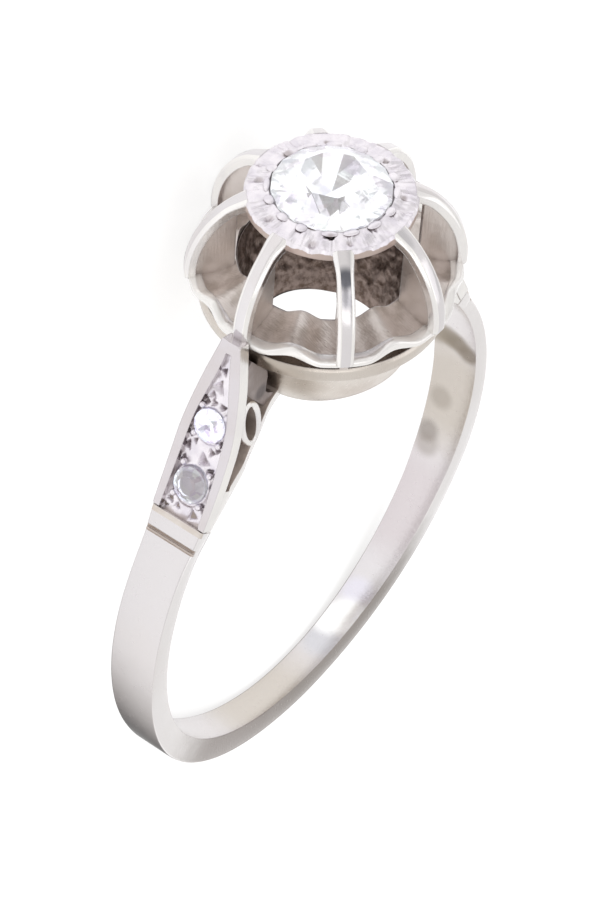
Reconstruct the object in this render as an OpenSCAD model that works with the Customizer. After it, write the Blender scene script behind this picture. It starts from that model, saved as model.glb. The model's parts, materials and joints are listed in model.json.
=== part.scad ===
// Solitaire ring: a round brilliant in an eight-ribbed illusion head, on a shank
// with pierced shoulders that hold two small brilliants each.
// Ring frame: +X along the finger, +Y across it towards one shoulder, +Z up to the
// main stone, with its origin at the middle of the finger hole. lay_down() then
// puts the whole ring on its side, as a ring rests on a table.

/* [Shank] */
// Radius of the finger hole
finger_r = 8.5; // [7.5:0.1:10]
// Thickness of the band at its sides
shank_t = 0.72; // [0.7:0.02:1.2]
// Extra thickness of the band at its back, opposite the head
back_extra = 0.38; // [0:0.02:0.4]
// Width of the band at its sides
shank_w = 1.84; // [1.6:0.02:2.4]
// Width of the band at its back
shank_back_w = 1.04; // [0.9:0.02:1.6]

/* [Shoulders] */
// Width of a shoulder along its panel
shoulder_w = 2.04; // [1.9:0.02:2.4]
// Width of a shoulder where it meets the gallery
shoulder_tip_w = 0.66; // [0.5:0.02:1]
// Thickness of the bar that carries the panel
panel_t = 0.46; // [0.4:0.02:0.6]
// Depth of the sunk panel
panel_depth = 0.24; // [0.15:0.01:0.3]
// Thickness of the bar that follows the finger hole
under_bar_t = 0.38; // [0.3:0.02:0.5]
// Diameter of the upper small stones
upper_stone_d = 1.12; // [0.9:0.02:1.2]
// Diameter of the lower small stones
lower_stone_d = 1.2; // [0.9:0.02:1.24]

/* [Head] */
// Number of ribs, and of lobes of the gallery
ribs = 8; // [8:4:12]
// Radius of the gallery's rim
rim_r = 4.34; // [4.2:0.02:4.6]
// Height of the rim's top at a rib
rim_z = 11.55; // [11.2:0.05:11.6]
// Rise of the rim from a rib to the notch between two ribs
rim_wave = 0.3; // [0.1:0.02:0.34]
// Radius of the illusion plate
plate_r = 2.7; // [2.6:0.02:2.9]
// Height of the plate's top
plate_z = 14.68; // [14.3:0.02:14.9]
// Diameter of the main stone
main_stone_d = 3.8; // [3.6:0.05:4.2]

/* [Hidden] */
metal = [0.86, 0.85, 0.84];
crystal = [0.88, 0.92, 0.97];
smooth = 96;
far = 30;
stone_gap = 0.04;
grain_gap = 0.06;

outer_r = finger_r + shank_t;
back_z = -(outer_r + back_extra);

// Circle through three points, as [centre y, centre z, radius]
function circle_through(a, b, c) =
    let (d = 2 * (a[0] * (b[1] - c[1]) + b[0] * (c[1] - a[1]) + c[0] * (a[1] - b[1])),
         y = (a * a * (b[1] - c[1]) + b * b * (c[1] - a[1]) + c * c * (a[1] - b[1])) / d,
         z = (a * a * (c[0] - b[0]) + b * b * (a[0] - c[0]) + c * c * (b[0] - a[0])) / d)
    [y, z, norm(a - [y, z])];

// Shoulder top line, an arc that bends away from the finger, in [y, z]
panel_foot = [7.48, 5.08];
panel_mid = [5.98, 8.12];
panel_tip = [4.79, 11.7];
panel_arc = circle_through(panel_foot, panel_mid, panel_tip);
panel_c = [panel_arc[0], panel_arc[1]];
panel_r = panel_arc[2];
// Height on the shoulder of each small stone's middle
upper_stone_z = 8.79;
lower_stone_z = 6.8;
// Where the shoulder starts, as an angle down from the head
shoulder_a = 56;
// Height under which the band is not narrowed at its sides
shoulder_low_z = 5;
// Cross grooves: angle down from the head, width, radius of the floor
wide_groove = [56.2, 0.28, 8.92];
fine_groove = [51.3, 0.12, 9.04];
// Block that a shoulder is cut from, in [y, z]: its head end stays under the gallery's rim
shoulder_block = [[2.4, 3], [9, 3], [9, 5.2], [6.4, 9], panel_tip, [4.45, panel_tip[1]],
                  [4.3, 11.46], [3.7, 11.36], [3.7, 10.9], [2.4, 10.6]];

// Half widths of the band seen along Y: height, half width
shank_top_z = 2;
shank_curve = concat(
    [for (i = [0:12]) let (t = i / 12)
        [shank_top_z + t * (back_z - shank_top_z), (shank_w - (shank_w - shank_back_w) * t * t) / 2]],
    [[back_z - 1, shank_back_w / 2]]);
shoulder_curve = [[11.8, shoulder_tip_w / 2], [11.2, shoulder_tip_w / 2 + 0.15],
                  [10.4, 0.68], [9.6, 0.84], [8.85, 0.96], [8.1, shoulder_w / 2],
                  [5.9, shoulder_w / 2], [5, shank_w / 2 + 0.01]];
// Half widths of the bar under the shoulder seen along Z: distance out, half width
under_curve = [[2, 0.46], [3.2, 0.54], [3.9, 0.72], [4.6, 0.88], [5.3, 1.02], [far, 1.02]];
// Half widths of the sunk panel: height, half width
recess_curve = [[11.36, 0.04], [10.95, 0.14], [10.4, 0.27], [9.8, 0.42], [9, 0.6], [8.3, 0.67],
                [7.1, 0.73], [5.72, 0.77]];

// Side gallery of a shoulder, in [y, z]: the window between its bars, which ends at
// an angle down from the head, and the long upright loop and the strut inside it
gallery_window = [[2.4, 7], [6.2, 6.3], [6.2, 9], [5.3, 10.75], [2.4, 10.75]];
gallery_a = 41.5;
loop_mid = [4.6, 8.54];
loop_half = 0.6;
loop_lean = -11;
loop_hole_r = 0.26;
loop_wall = 0.24;
strut_foot = [3.3, 8];
strut_turn = 51;
strut_length = 3.6;
strut_w = 0.35;

// Ribs, in [distance from the head's axis, height]
rib_c = [1, 11.7];
rib_r = 3.46;
rib_t = 0.34;
rib_w = 0.54;
rib_in_r = plate_r - 0.2;
rib_over_plate = 0.06;
fin_w = 0.26;
fin_in_r = 2.8;
fin_foot_z = rim_z - 0.15;
rib_foot_z = 11.28;
rib_foot_r = rib_c[0] + sqrt(pow(rib_r, 2) - pow(rib_c[1] - rib_foot_z, 2));

// Gallery
rim_w = 0.46;
rim_t = 0.22;
floor_t = 0.34;
floor_in_r = 2.82;
floor_in_z = 11.98;
floor_wave = 0.2;
floor_drop = 0.06;
collar_top_z = 10.86;
collar_low_z = 10.3;
// Section of the base: outside from the finger up, over the collar, then down the hole
base_section = [[2.22, 7.9], [2.62, 7.9], [3.62, collar_low_z], [3.95, collar_low_z + 0.06],
                [3.98, collar_top_z - 0.05], [3.9, collar_top_z], [3.5, collar_top_z + 0.02],
                [3.5, rim_z - 0.1], [floor_in_r + 0.2, floor_in_z - 0.06],
                [floor_in_r, floor_in_z - 0.06], [floor_in_r - 0.05, rim_z - 0.1]];

// Plate, seat and grains
plate_t = 0.42;
seat_low_z = 13.5;
grains = 16;
grain_r = 0.14;
grain_h = 0.24;
seat_reach = 1;
panel_grain_r = 0.1;
panel_grain_h = panel_depth - 0.02;
grain_root = 0.05;
// Depth of a small stone's girdle under the panel's top line
small_stone_drop = 0.08;

// Main stone
girdle_z = plate_z + 0.06;
girdle_t = 0.09;
table_part = 0.56;
crown_part = 0.14;
pavilion_part = 0.42;
// Crown and pavilion points between girdle and table or culet: part of the radius, of the height
crown_points = [0.78, 0.52];
pavilion_points = [0.34, 0.72];

// Resting pose: one rib's foot and the back of the shank touch the table
table_r = table_part * main_stone_d / 2;
table_z = girdle_z + girdle_t + crown_part * main_stone_d;
back_hw = shank_back_w / 2;
lean = atan((rib_foot_r - back_hw) / (rib_foot_z - back_z));
lift = rib_foot_r * cos(lean) - rib_foot_z * sin(lean);
end_back = -back_z * cos(lean) + back_hw * sin(lean);
end_head = -table_z * cos(lean) - table_r * sin(lean);

module lay_down() {
    translate([-(end_back + end_head) / 2, 0, lift])
        rotate([0, -(90 - lean), 0])
            children();
}

// Draws a shape given in [y, z] and gives it a length along X
module along_x(length) {
    rotate([90, 0, 90]) linear_extrude(height = length, center = true) children();
}

// Draws a shape given in [x, z] and gives it a length along Y
module along_y(length) {
    rotate([90, 0, 0]) linear_extrude(height = length, center = true) children();
}

// Mirrored outline from a table of [height, half width]
module outline(curve) {
    n = len(curve) - 1;
    polygon(concat([for (p = curve) [p[1], p[0]]], [for (i = [n:-1:0]) [-curve[i][1], curve[i][0]]]));
}

// Everything between the head side and an angle down from the head, in [y, z]
module above_angle(a) {
    polygon([[0, 0], far * [sin(a), cos(a)], [far, far], [0, far]]);
}

// Strip across the band, from a table of its angle, width and inner radius
module cross_strip(groove) {
    rotate(-groove[0]) translate([-groove[1] / 2, groove[2]]) square([groove[1], 2]);
}

// The hoop's side view, below the shoulders
module hoop_side() {
    difference() {
        translate([0, -back_extra]) circle(r = outer_r, $fn = 2 * smooth);
        above_angle(shoulder_a);
        mirror([1, 0]) above_angle(shoulder_a);
    }
}

// One shoulder's side view, from its groove up to the head
module shoulder_side() {
    difference() {
        intersection() {
            above_angle(shoulder_a);
            polygon(shoulder_block);
        }
        translate(panel_c) circle(r = panel_r, $fn = 2 * smooth);
    }
}

// The long upright loop in a shoulder's side
module long_hole(r) {
    translate(loop_mid) rotate(loop_lean) {
        translate([0, loop_half]) circle(r = r, $fn = 32);
        translate([0, -loop_half]) circle(r = r, $fn = 32);
        translate([-r, -loop_half]) square([2 * r, 2 * loop_half]);
    }
}

// What is pierced through a shoulder between its two bars
module gallery_gaps() {
    difference() {
        intersection() {
            polygon(gallery_window);
            difference() {
                above_angle(gallery_a);
                circle(r = finger_r + under_bar_t, $fn = 2 * smooth);
                translate(panel_c) circle(r = panel_r + panel_t, $fn = 2 * smooth);
            }
        }
        long_hole(loop_hole_r + loop_wall);
        translate(strut_foot) rotate(strut_turn) square([strut_length, strut_w]);
    }
    long_hole(loop_hole_r);
}

module both_shoulders() {
    for (side = [0, 1]) mirror([0, side, 0]) children();
}

// Place on the top line of a shoulder at a height, with +Z out of the panel
module on_panel(z) {
    out = asin((z - panel_c[1]) / panel_r);
    y = panel_c[0] - panel_r * cos(out);
    translate([0, y, z]) rotate([-(90 + out), 0, 0]) children();
}

// Shank and shoulders, without their sunk panels
module band() {
    intersection() {
        along_x(2 * shoulder_w) {
            hoop_side();
            for (side = [0, 1]) mirror([side, 0]) difference() {
                shoulder_side();
                gallery_gaps();
            }
        }
        along_y(far) {
            outline(shank_curve);
            translate([-shank_w / 2, shank_top_z - 0.1]) square([shank_w, 3.2]);
            outline(shoulder_curve);
        }
        union() {
            translate([0, 0, -far]) cube([far, far, 2 * (far + shoulder_low_z)], center = true);
            both_shoulders() linear_extrude(height = far) outline(under_curve);
        }
    }
}

// Sunk panel, stone seats and cross grooves of both shoulders
module shoulder_cuts() {
    both_shoulders() {
        intersection() {
            translate([0, 7, 0]) along_y(8) outline(recess_curve);
            translate([0, panel_c[0], panel_c[1]]) rotate([0, 90, 0])
                cylinder(r = panel_r + panel_depth, h = 4, center = true, $fn = 2 * smooth);
        }
        on_panel(upper_stone_z) stone_seat(upper_stone_d);
        on_panel(lower_stone_z) stone_seat(lower_stone_d);
        along_x(4) {
            cross_strip(wide_groove);
            cross_strip(fine_groove);
        }
    }
}

module stone_seat(d) {
    cylinder(d = d + 2 * stone_gap, h = 2 * seat_reach, center = true, $fn = smooth);
}

// Four grains hold each small stone, standing on the panel's floor
module panel_grains() {
    both_shoulders() {
        for (s = [[upper_stone_z, upper_stone_d], [lower_stone_z, lower_stone_d]])
            for (a = [45:90:315])
                on_panel(s[0]) rotate(a)
                    translate([s[1] / 2 + grain_gap + panel_grain_r, 0, -panel_depth - grain_root])
                        grain(panel_grain_r, panel_grain_h);
    }
}

// Base of the head: a tapered collar, hollow from the gallery to the finger hole
module base() {
    rotate_extrude($fn = smooth) polygon(base_section);
}

// Radial cylinders, one for each rib, that hollow the gallery's eight lobes
module flutes(r, from, length, low_z, slope) {
    for (i = [0:ribs - 1])
        rotate(i * 360 / ribs)
            translate([from, 0, low_z])
                rotate([0, 90 + slope, 0])
                    translate([-r, 0, -0.4])
                        cylinder(r = r, h = length + 0.8, $fn = 2 * smooth);
}

// Radius of a flute that is a given depth below the crests at a distance out
function flute_r(distance, depth) =
    let (half = distance * sin(180 / ribs)) (half * half + depth * depth) / (2 * depth);

module ring_blank(inner, outer, low, high) {
    translate([0, 0, low]) difference() {
        cylinder(r = outer, h = high - low, $fn = smooth);
        translate([0, 0, -1]) cylinder(r = inner, h = high - low + 2, $fn = smooth);
    }
}

// Wavy flat rim round the gallery
module rim() {
    r = flute_r(rim_r, rim_wave);
    from = rim_r - rim_w - 0.2;
    difference() {
        intersection() {
            ring_blank(rim_r - rim_w, rim_r, rim_z - rim_t, rim_z + rim_wave);
            flutes(r + rim_t, from, 1, rim_z - rim_t, 0);
        }
        flutes(r, from, 1, rim_z, 0);
    }
}

// Fluted floor that climbs from the rim to the open middle
module gallery_floor() {
    r = flute_r(3.4, floor_wave);
    out_r = rim_r - rim_w + 0.05;
    low_z = floor_in_z - floor_drop - floor_wave / 2;
    slope = atan((low_z - rim_z + floor_drop) / (out_r - floor_in_r));
    difference() {
        intersection() {
            ring_blank(floor_in_r, out_r, rim_z - rim_t, floor_in_z + floor_wave);
            flutes(r + floor_t, floor_in_r, out_r - floor_in_r, low_z - floor_t, slope);
        }
        flutes(r, floor_in_r, out_r - floor_in_r, low_z, slope);
    }
}

// One rib in [distance out, height]: an arched strip
module rib_side() {
    intersection() {
        difference() {
            translate(rib_c) circle(r = rib_r, $fn = 2 * smooth);
            translate(rib_c) circle(r = rib_r - rib_t, $fn = 2 * smooth);
        }
        translate([rib_in_r, rib_foot_z]) square([3, plate_z - rib_foot_z + rib_over_plate]);
    }
}

// The thin fin behind a rib
module fin_side() {
    intersection() {
        translate(rib_c) circle(r = rib_r - rib_t / 2, $fn = 2 * smooth);
        translate([fin_in_r, fin_foot_z]) square([3, plate_z - 0.15 - fin_foot_z]);
    }
}

module ribs_and_fins() {
    for (i = [0:ribs - 1]) rotate(i * 360 / ribs) {
        along_y(rib_w) rib_side();
        along_y(fin_w) fin_side();
    }
}

// Bead of metal that holds a stone: a short post with a domed top
module grain(r, h) {
    rotate_extrude($fn = 24) polygon([[0, 0], [r, 0], [r, h], [0.75 * r, h + 0.6 * r], [0, h + 0.9 * r]]);
}

// Illusion plate with the seat of the main stone
module plate() {
    stone_r = main_stone_d / 2;
    rotate_extrude($fn = smooth) polygon([
        [stone_r + stone_gap, plate_z + 0.1], [stone_r + stone_gap, girdle_z - 0.12],
        [stone_r - 0.5, girdle_z - 0.66], [stone_r - 0.5, seat_low_z], [stone_r - 0.2, seat_low_z],
        [stone_r + 0.2, plate_z - plate_t], [plate_r - 0.06, plate_z - plate_t],
        [plate_r, plate_z - plate_t + 0.06], [plate_r, plate_z - 0.12], [plate_r - 0.1, plate_z]]);
    for (i = [0:grains - 1])
        rotate((i + 0.5) * 360 / grains)
            translate([stone_r + grain_gap + grain_r, 0, plate_z - grain_root]) grain(grain_r, grain_h);
}

module ring_body() {
    color(metal) lay_down() difference() {
        union() {
            difference() {
                band();
                shoulder_cuts();
            }
            panel_grains();
            base();
            rim();
            gallery_floor();
            ribs_and_fins();
            plate();
        }
        rotate([0, 90, 0]) cylinder(r = finger_r, h = far, center = true, $fn = 2 * smooth);
    }
}

// Points of a ring at a radius and a height, n of them, turned by part of a step
function ring_points(n, r, z, turn) =
    [for (i = [0:n - 1]) let (a = (i + turn) * 360 / n) [r * cos(a), r * sin(a), z]];

// Round brilliant with its girdle's foot at Z = 0: an eight-sided table, eight
// crown points, a sixteen-sided girdle, eight pavilion points and a culet
module brilliant(d) {
    r = d / 2;
    crown = crown_part * d;
    pavilion = pavilion_part * d;
    points = concat(
        ring_points(8, r * table_part, girdle_t + crown, 0),
        ring_points(8, r * crown_points[0], girdle_t + crown * crown_points[1], 0.5),
        ring_points(16, r, girdle_t, 0),
        ring_points(16, r, 0, 0),
        ring_points(8, r * pavilion_points[0], -pavilion * pavilion_points[1], 0.5),
        [[0, 0, -pavilion]]);
    faces = concat(
        [[for (i = [7:-1:0]) i]],
        [for (i = [0:7]) let (j = (i + 1) % 8) [i, j, 8 + i]],
        [for (i = [0:7]) let (j = (i + 1) % 8) [j, 16 + 2 * j, 8 + i]],
        [for (i = [0:7]) let (j = (i + 1) % 8) [j, 8 + j, 16 + 2 * j]],
        [for (i = [0:7]) [8 + i, 16 + 2 * i + 1, 16 + 2 * i]],
        [for (i = [0:7]) [8 + i, 16 + (2 * i + 2) % 16, 16 + 2 * i + 1]],
        [for (k = [0:15]) let (l = (k + 1) % 16) [16 + k, 16 + l, 32 + l, 32 + k]],
        [for (i = [0:7]) [32 + 2 * i, 32 + 2 * i + 1, 48 + i]],
        [for (i = [0:7]) [32 + 2 * i + 1, 32 + (2 * i + 2) % 16, 48 + i]],
        [for (i = [0:7]) let (j = (i + 1) % 8) [48 + i, 32 + 2 * j, 48 + j]],
        [for (i = [0:7]) let (j = (i + 1) % 8) [48 + i, 48 + j, 56]]);
    polyhedron(points = points, faces = faces);
}

module center_stone() {
    color(crystal) lay_down() translate([0, 0, girdle_z]) brilliant(main_stone_d);
}

// A small stone sits with its girdle a little under the panel's top line
module small_stone(side, z, d) {
    color(crystal) lay_down() mirror([0, side, 0]) on_panel(z)
        translate([0, 0, -small_stone_drop]) brilliant(d);
}

module stone_front_upper() {
    small_stone(1, upper_stone_z, upper_stone_d);
}

module stone_front_lower() {
    small_stone(1, lower_stone_z, lower_stone_d);
}

module stone_rear_upper() {
    small_stone(0, upper_stone_z, upper_stone_d);
}

module stone_rear_lower() {
    small_stone(0, lower_stone_z, lower_stone_d);
}

ring_body();
center_stone();
stone_front_upper();
stone_front_lower();
stone_rear_upper();
stone_rear_lower();
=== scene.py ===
"""Looks of a solitaire ring that lies on its side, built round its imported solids.

Shapes are drawn in millimetres in the ring's own frame: +X along the finger, +Y across
it, +Z up to the main stone, origin at the middle of the finger hole. LAY_DOWN then puts
each finished mesh on the table, in metres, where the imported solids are.
"""

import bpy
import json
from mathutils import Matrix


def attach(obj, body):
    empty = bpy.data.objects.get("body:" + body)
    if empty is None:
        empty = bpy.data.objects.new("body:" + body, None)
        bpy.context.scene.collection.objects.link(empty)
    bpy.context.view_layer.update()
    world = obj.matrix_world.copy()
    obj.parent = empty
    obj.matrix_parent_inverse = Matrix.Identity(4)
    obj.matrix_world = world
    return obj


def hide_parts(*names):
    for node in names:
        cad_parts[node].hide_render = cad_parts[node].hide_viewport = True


bl_info = {
    "name": "Solitaire Ring",
    "version": (1, 0, 0),
    "blender": (4, 5, 0),
    "location": "View3D > Sidebar > Ring",
    "description": "Models the worked metal and the finishes of a solitaire ring",
    "category": "Add Mesh",
}

import json
import math

import bmesh
import bpy
from bpy.props import FloatProperty, FloatVectorProperty, IntProperty, PointerProperty
from mathutils import Matrix, Vector, noise

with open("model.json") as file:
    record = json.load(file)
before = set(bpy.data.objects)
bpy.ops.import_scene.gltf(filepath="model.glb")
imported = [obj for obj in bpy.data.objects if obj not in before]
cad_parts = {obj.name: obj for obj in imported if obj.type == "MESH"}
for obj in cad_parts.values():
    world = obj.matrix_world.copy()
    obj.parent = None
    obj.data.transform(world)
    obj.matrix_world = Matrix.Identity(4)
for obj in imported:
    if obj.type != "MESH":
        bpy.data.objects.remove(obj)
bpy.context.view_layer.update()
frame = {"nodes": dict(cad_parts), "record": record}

BODY = "root"
METAL_NODE, MAIN_STONE = "ring_body", "center_stone"
MM = 0.001

HOLE = frame["record"]["mounts"][0]
FINGER_AXIS = Vector(HOLE["axis"]).normalized()
HEAD_AXIS = FINGER_AXIS.cross(Vector((0, 1, 0)))
LAY_DOWN = Matrix.Translation(HOLE["pos_m"]) @ Matrix((
    (FINGER_AXIS.x * MM, 0, HEAD_AXIS.x * MM, 0),
    (0, MM, 0, 0),
    (FINGER_AXIS.z * MM, 0, HEAD_AXIS.z * MM, 0),
    (0, 0, 0, 1)))
ORIGIN = (0, 0, 0)


# Lines of the ring

# Half widths by height: the band, then the shoulders above it
BAND_HALF_WIDTHS = [(-9.5, 0.52), (-8.5, 0.585), (-7.5, 0.642), (-6.5, 0.693), (-5.5, 0.739),
                    (-4.5, 0.779), (-3.5, 0.83), (-2, 0.872), (0, 0.908), (2, 0.92), (4.4, 0.92),
                    (5.9, 1.02), (8.1, 1.02), (8.85, 0.96), (9.6, 0.84), (10.4, 0.68),
                    (11.2, 0.48), (11.8, 0.33)]
# Half widths of the bar under a shoulder, by distance from the head's axis
UNDER_HALF_WIDTHS = [(2, 0.46), (3.2, 0.54), (3.9, 0.72), (4.6, 0.88), (5.3, 1.02), (30, 1.02)]
# Half widths of the sunk panel, by height
PANEL_HALF_WIDTHS = [(5.72, 0.77), (7.1, 0.73), (8.3, 0.67), (9, 0.6), (9.8, 0.42), (10.4, 0.27),
                     (10.95, 0.15), (11.3, 0.09)]
PANEL_LOW, PANEL_HIGH = 5.72, 11.3
# The shoulder's top line is an arc round this point, in [y, z]
PANEL_CENTRE = Vector((30.0585, 18.1122))
PANEL_RADIUS = 26.0732


def ease(value):
    """0 to 1, with a soft start and end."""
    value = min(max(value, 0), 1)
    return value * value * (3 - 2 * value)


def table(rows, place):
    """Size at a place, read off the smooth line through rows of (place, size)."""
    if place <= rows[0][0]:
        return rows[0][1]
    if place >= rows[-1][0]:
        return rows[-1][1]
    i = next(i for i, row in enumerate(rows) if place <= row[0])
    low, high = rows[i - 1], rows[i]
    before, after = rows[max(i - 2, 0)], rows[min(i + 1, len(rows) - 1)]
    length = high[0] - low[0]
    part = (place - low[0]) / length
    leave = (high[1] - before[1]) / (high[0] - before[0]) * length
    arrive = (after[1] - low[1]) / (after[0] - low[0]) * length
    rise = ease(part)
    return (low[1] * (1 - rise) + high[1] * rise
            + leave * part * (1 - part) ** 2 - arrive * part ** 2 * (1 - part))


def mm(metres):
    return metres / MM


def evenly(low, high, count):
    return [low + (high - low) * i / count for i in range(count + 1)]


def on_panel(x, height, depth):
    """Point on the +Y shoulder's top line at a height, and a depth under it."""
    y = PANEL_CENTRE.x - math.sqrt(PANEL_RADIUS ** 2 - (height - PANEL_CENTRE.y) ** 2)
    out = (PANEL_CENTRE - Vector((y, height))) / PANEL_RADIUS
    return Vector((x, y - out.x * depth, height - out.y * depth))


def outward(point):
    """Direction out of the +Y shoulder's top line, near a point."""
    return Vector((0, PANEL_CENTRE.x - point.y, PANEL_CENTRE.y - point.z)).normalized()


def panel_line_radius(angle):
    """How far out the shoulder's top line is, at an angle from the head."""
    ray = Vector((math.sin(angle), math.cos(angle)))
    along = ray.dot(PANEL_CENTRE)
    return along - math.sqrt(along ** 2 - PANEL_CENTRE.length_squared + PANEL_RADIUS ** 2)


def lobe_place(vert, count):
    """0 at a rib, 1 half way to the next."""
    step = math.tau / count
    angle = math.atan2(vert.co.y, vert.co.x)
    return abs(angle - round(angle / step) * step) / (step / 2)


def lobe_rise(vert, count):
    """0 round a rib, softly up to 1 half way to the next."""
    return ease((lobe_place(vert, count) - 0.4) / 0.6)


# Modelling

def all_of(bm):
    return bm.verts[:] + bm.edges[:] + bm.faces[:]


def verts_in(geometry):
    return [part for part in geometry if isinstance(part, bmesh.types.BMVert)]


def closed_line(bm, points):
    """The points and the edges of a closed line."""
    verts = [bm.verts.new(point) for point in points]
    return verts, [bm.edges.new(pair) for pair in zip(verts, verts[1:] + verts[:1])]


def lathe(bm, profile, steps):
    """Spins a closed line of [distance out, height] points round the head's axis."""
    verts, edges = closed_line(bm, [(out, 0, height) for out, height in profile])
    bmesh.ops.spin(bm, geom=verts + edges, cent=ORIGIN, axis=(0, 0, 1), dvec=ORIGIN,
                   angle=math.tau, steps=steps, use_merge=True)


def swept(bm, corners, axis, centre, start, turn, steps):
    """Sweeps a section from a starting angle through a turn, into a closed solid."""
    verts = [bm.verts.new(corner) for corner in corners]
    section = bm.faces.new(verts)
    bmesh.ops.rotate(bm, verts=verts, cent=centre, matrix=Matrix.Rotation(start, 3, Vector(axis)))
    bmesh.ops.spin(bm, geom=[section] + section.edges[:] + verts, cent=centre, axis=axis,
                   dvec=ORIGIN, angle=turn, steps=steps)


def divided(points, step):
    """The same open line with more points, none further apart than step."""
    line = [points[0]]
    for start, end in zip(points, points[1:]):
        count = max(1, math.ceil(math.dist(start, end) / step))
        line += [tuple(a + (b - a) * i / count for a, b in zip(start, end))
                 for i in range(1, count + 1)]
    return line


def copies_round_head(bm, count):
    """Copies all of a mesh round the head's axis."""
    first = all_of(bm)
    for i in range(1, count):
        made = bmesh.ops.duplicate(bm, geom=first)["geom"]
        bmesh.ops.rotate(bm, verts=verts_in(made), cent=ORIGIN,
                         matrix=Matrix.Rotation(math.tau * i / count, 3, "Z"))


def both_sides(bm):
    """Copies all of a mesh to the other shoulder."""
    made = bmesh.ops.duplicate(bm, geom=all_of(bm))["geom"]
    bmesh.ops.scale(bm, vec=(1, -1, 1), verts=verts_in(made))
    faces = [part for part in made if isinstance(part, bmesh.types.BMFace)]
    bmesh.ops.reverse_faces(bm, faces=faces)


def slab(bm, move):
    """Gives an open sheet its thickness: move says where a point of the top has its underside."""
    for vert in verts_in(bmesh.ops.extrude_face_region(bm, geom=all_of(bm))["geom"]):
        vert.co = move(vert.co.copy())


def soften(bm, offset, chosen, segments=2, sharper_than=60):
    """Rounds the chosen edges that stand out or in by more than an angle in degrees."""
    limit = math.radians(sharper_than)
    edges = [edge for edge in bm.edges
             if len(edge.link_faces) == 2 and edge.calc_face_angle(0) > limit and chosen(edge)]
    bmesh.ops.bevel(bm, geom=edges, offset=offset, offset_type="OFFSET", affect="EDGES",
                    segments=segments, profile=0.5, material=-1, clamp_overlap=True)


def runs_round(edge):
    """Whether an edge runs round the ring, more than along the finger."""
    return abs(edge.verts[0].co.x - edge.verts[1].co.x) < 0.1


def runs_across(edge):
    """Whether an edge reaches from one side of the ring to the other."""
    return abs(edge.verts[0].co.x - edge.verts[1].co.x) > 0.5


# Numbers of the second and third finish of a piece
SECOND, THIRD = 1, 2


def mark(bm, finish, chosen):
    """Gives the chosen faces another of their piece's finishes, by its number."""
    for face in bm.faces:
        face.normal_update()
        if chosen(face, face.calc_center_median()):
            face.material_index = finish


def keep_piece(context, bm, name, *kinds, crease=32, even=True):
    """Lays a finished mesh down in its place, and keeps it as a piece of the ring."""
    bmesh.ops.remove_doubles(bm, verts=bm.verts, dist=0.0005)
    bmesh.ops.dissolve_degenerate(bm, edges=bm.edges, dist=0.0002)
    bmesh.ops.recalc_face_normals(bm, faces=bm.faces)
    limit = math.radians(crease)
    for edge in bm.edges:
        edge.smooth = len(edge.link_faces) != 2 or edge.calc_face_angle(0) < limit
    for face in bm.faces:
        face.smooth = True
    bmesh.ops.transform(bm, matrix=LAY_DOWN, verts=bm.verts)
    mesh = bpy.data.meshes.new(name)
    bm.to_mesh(mesh)
    bm.free()
    if not mesh.polygons:
        raise RuntimeError(f"{name} has no faces")
    for kind in kinds:
        mesh.materials.append(gold(kind))
    piece = bpy.data.objects.new(name, mesh)
    context.scene.collection.objects.link(piece)
    if even:
        normals = piece.modifiers.new("Even normals", "WEIGHTED_NORMAL")
        normals.keep_sharp = True
    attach(piece, BODY)
    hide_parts(METAL_NODE)


# Shader nodes

COLOUR, NUMBER, DIRECTION = "NodeSocketColor", "NodeSocketFloat", "NodeSocketVector"
# Sockets of the colour mix: its share, its two colours, and its result
MIX_SHARE, MIX_FIRST, MIX_SECOND, MIX_RESULT = 0, 6, 7, 2


def opaque(colour):
    return (*colour[:3], 1)


def feed(tree, socket, value):
    """Links an output to an input, or sets the input's value."""
    if isinstance(value, bpy.types.NodeSocket):
        tree.links.new(value, socket)
    else:
        socket.default_value = value


def plug(tree, node, *inputs, **values):
    """Sets a node's options and feeds its inputs, in their order or by name, with _ for a space."""
    for key, value in values.items():
        if key.replace("_", " ") not in node.inputs:
            setattr(node, key, value)
    for i, value in enumerate(inputs):
        feed(tree, node.inputs[i], value)
    for key, value in values.items():
        if key.replace("_", " ") in node.inputs:
            feed(tree, node.inputs[key.replace("_", " ")], value)


def put(tree, kind, place, *inputs, **values):
    """Adds a node at a place in the tree."""
    node = tree.nodes.new("ShaderNode" + kind)
    node.location = place
    plug(tree, node, *inputs, **values)
    return node


def math_node(tree, place, operation, *inputs, clamp=False):
    return put(tree, "Math", place, *inputs, operation=operation, use_clamp=clamp).outputs[0]


def clouds(tree, place, where, scale, detail, roughness=0.5):
    """Soft noise between 0 and 1."""
    return put(tree, "TexNoise", place, Vector=where, Scale=scale, Detail=detail,
               Roughness=roughness).outputs["Fac"]


def between(tree, place, value, low, high, top=1, steps="SMOOTHSTEP"):
    """0 where a value is at its low mark, top where it's at its high mark."""
    return put(tree, "MapRange", place, interpolation_type=steps, Value=value, From_Min=low,
               From_Max=high, To_Max=top).outputs["Result"]


def blend(tree, place, share, first, second):
    """The colour between two colours."""
    node = put(tree, "Mix", place, data_type="RGBA")
    for socket, value in ((MIX_SHARE, share), (MIX_FIRST, first), (MIX_SECOND, second)):
        feed(tree, node.inputs[socket], value)
    return node.outputs[MIX_RESULT]


def new_group(name, inputs, outputs):
    """A shader group with its named sockets, what comes into it, and its output node."""
    group = bpy.data.node_groups.new(name, "ShaderNodeTree")
    for way, sockets in (("INPUT", inputs), ("OUTPUT", outputs)):
        for label, kind in sockets.items():
            group.interface.new_socket(name=label, in_out=way, socket_type=kind)
    return group, group.nodes.new("NodeGroupInput").outputs, group.nodes.new("NodeGroupOutput")


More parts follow.
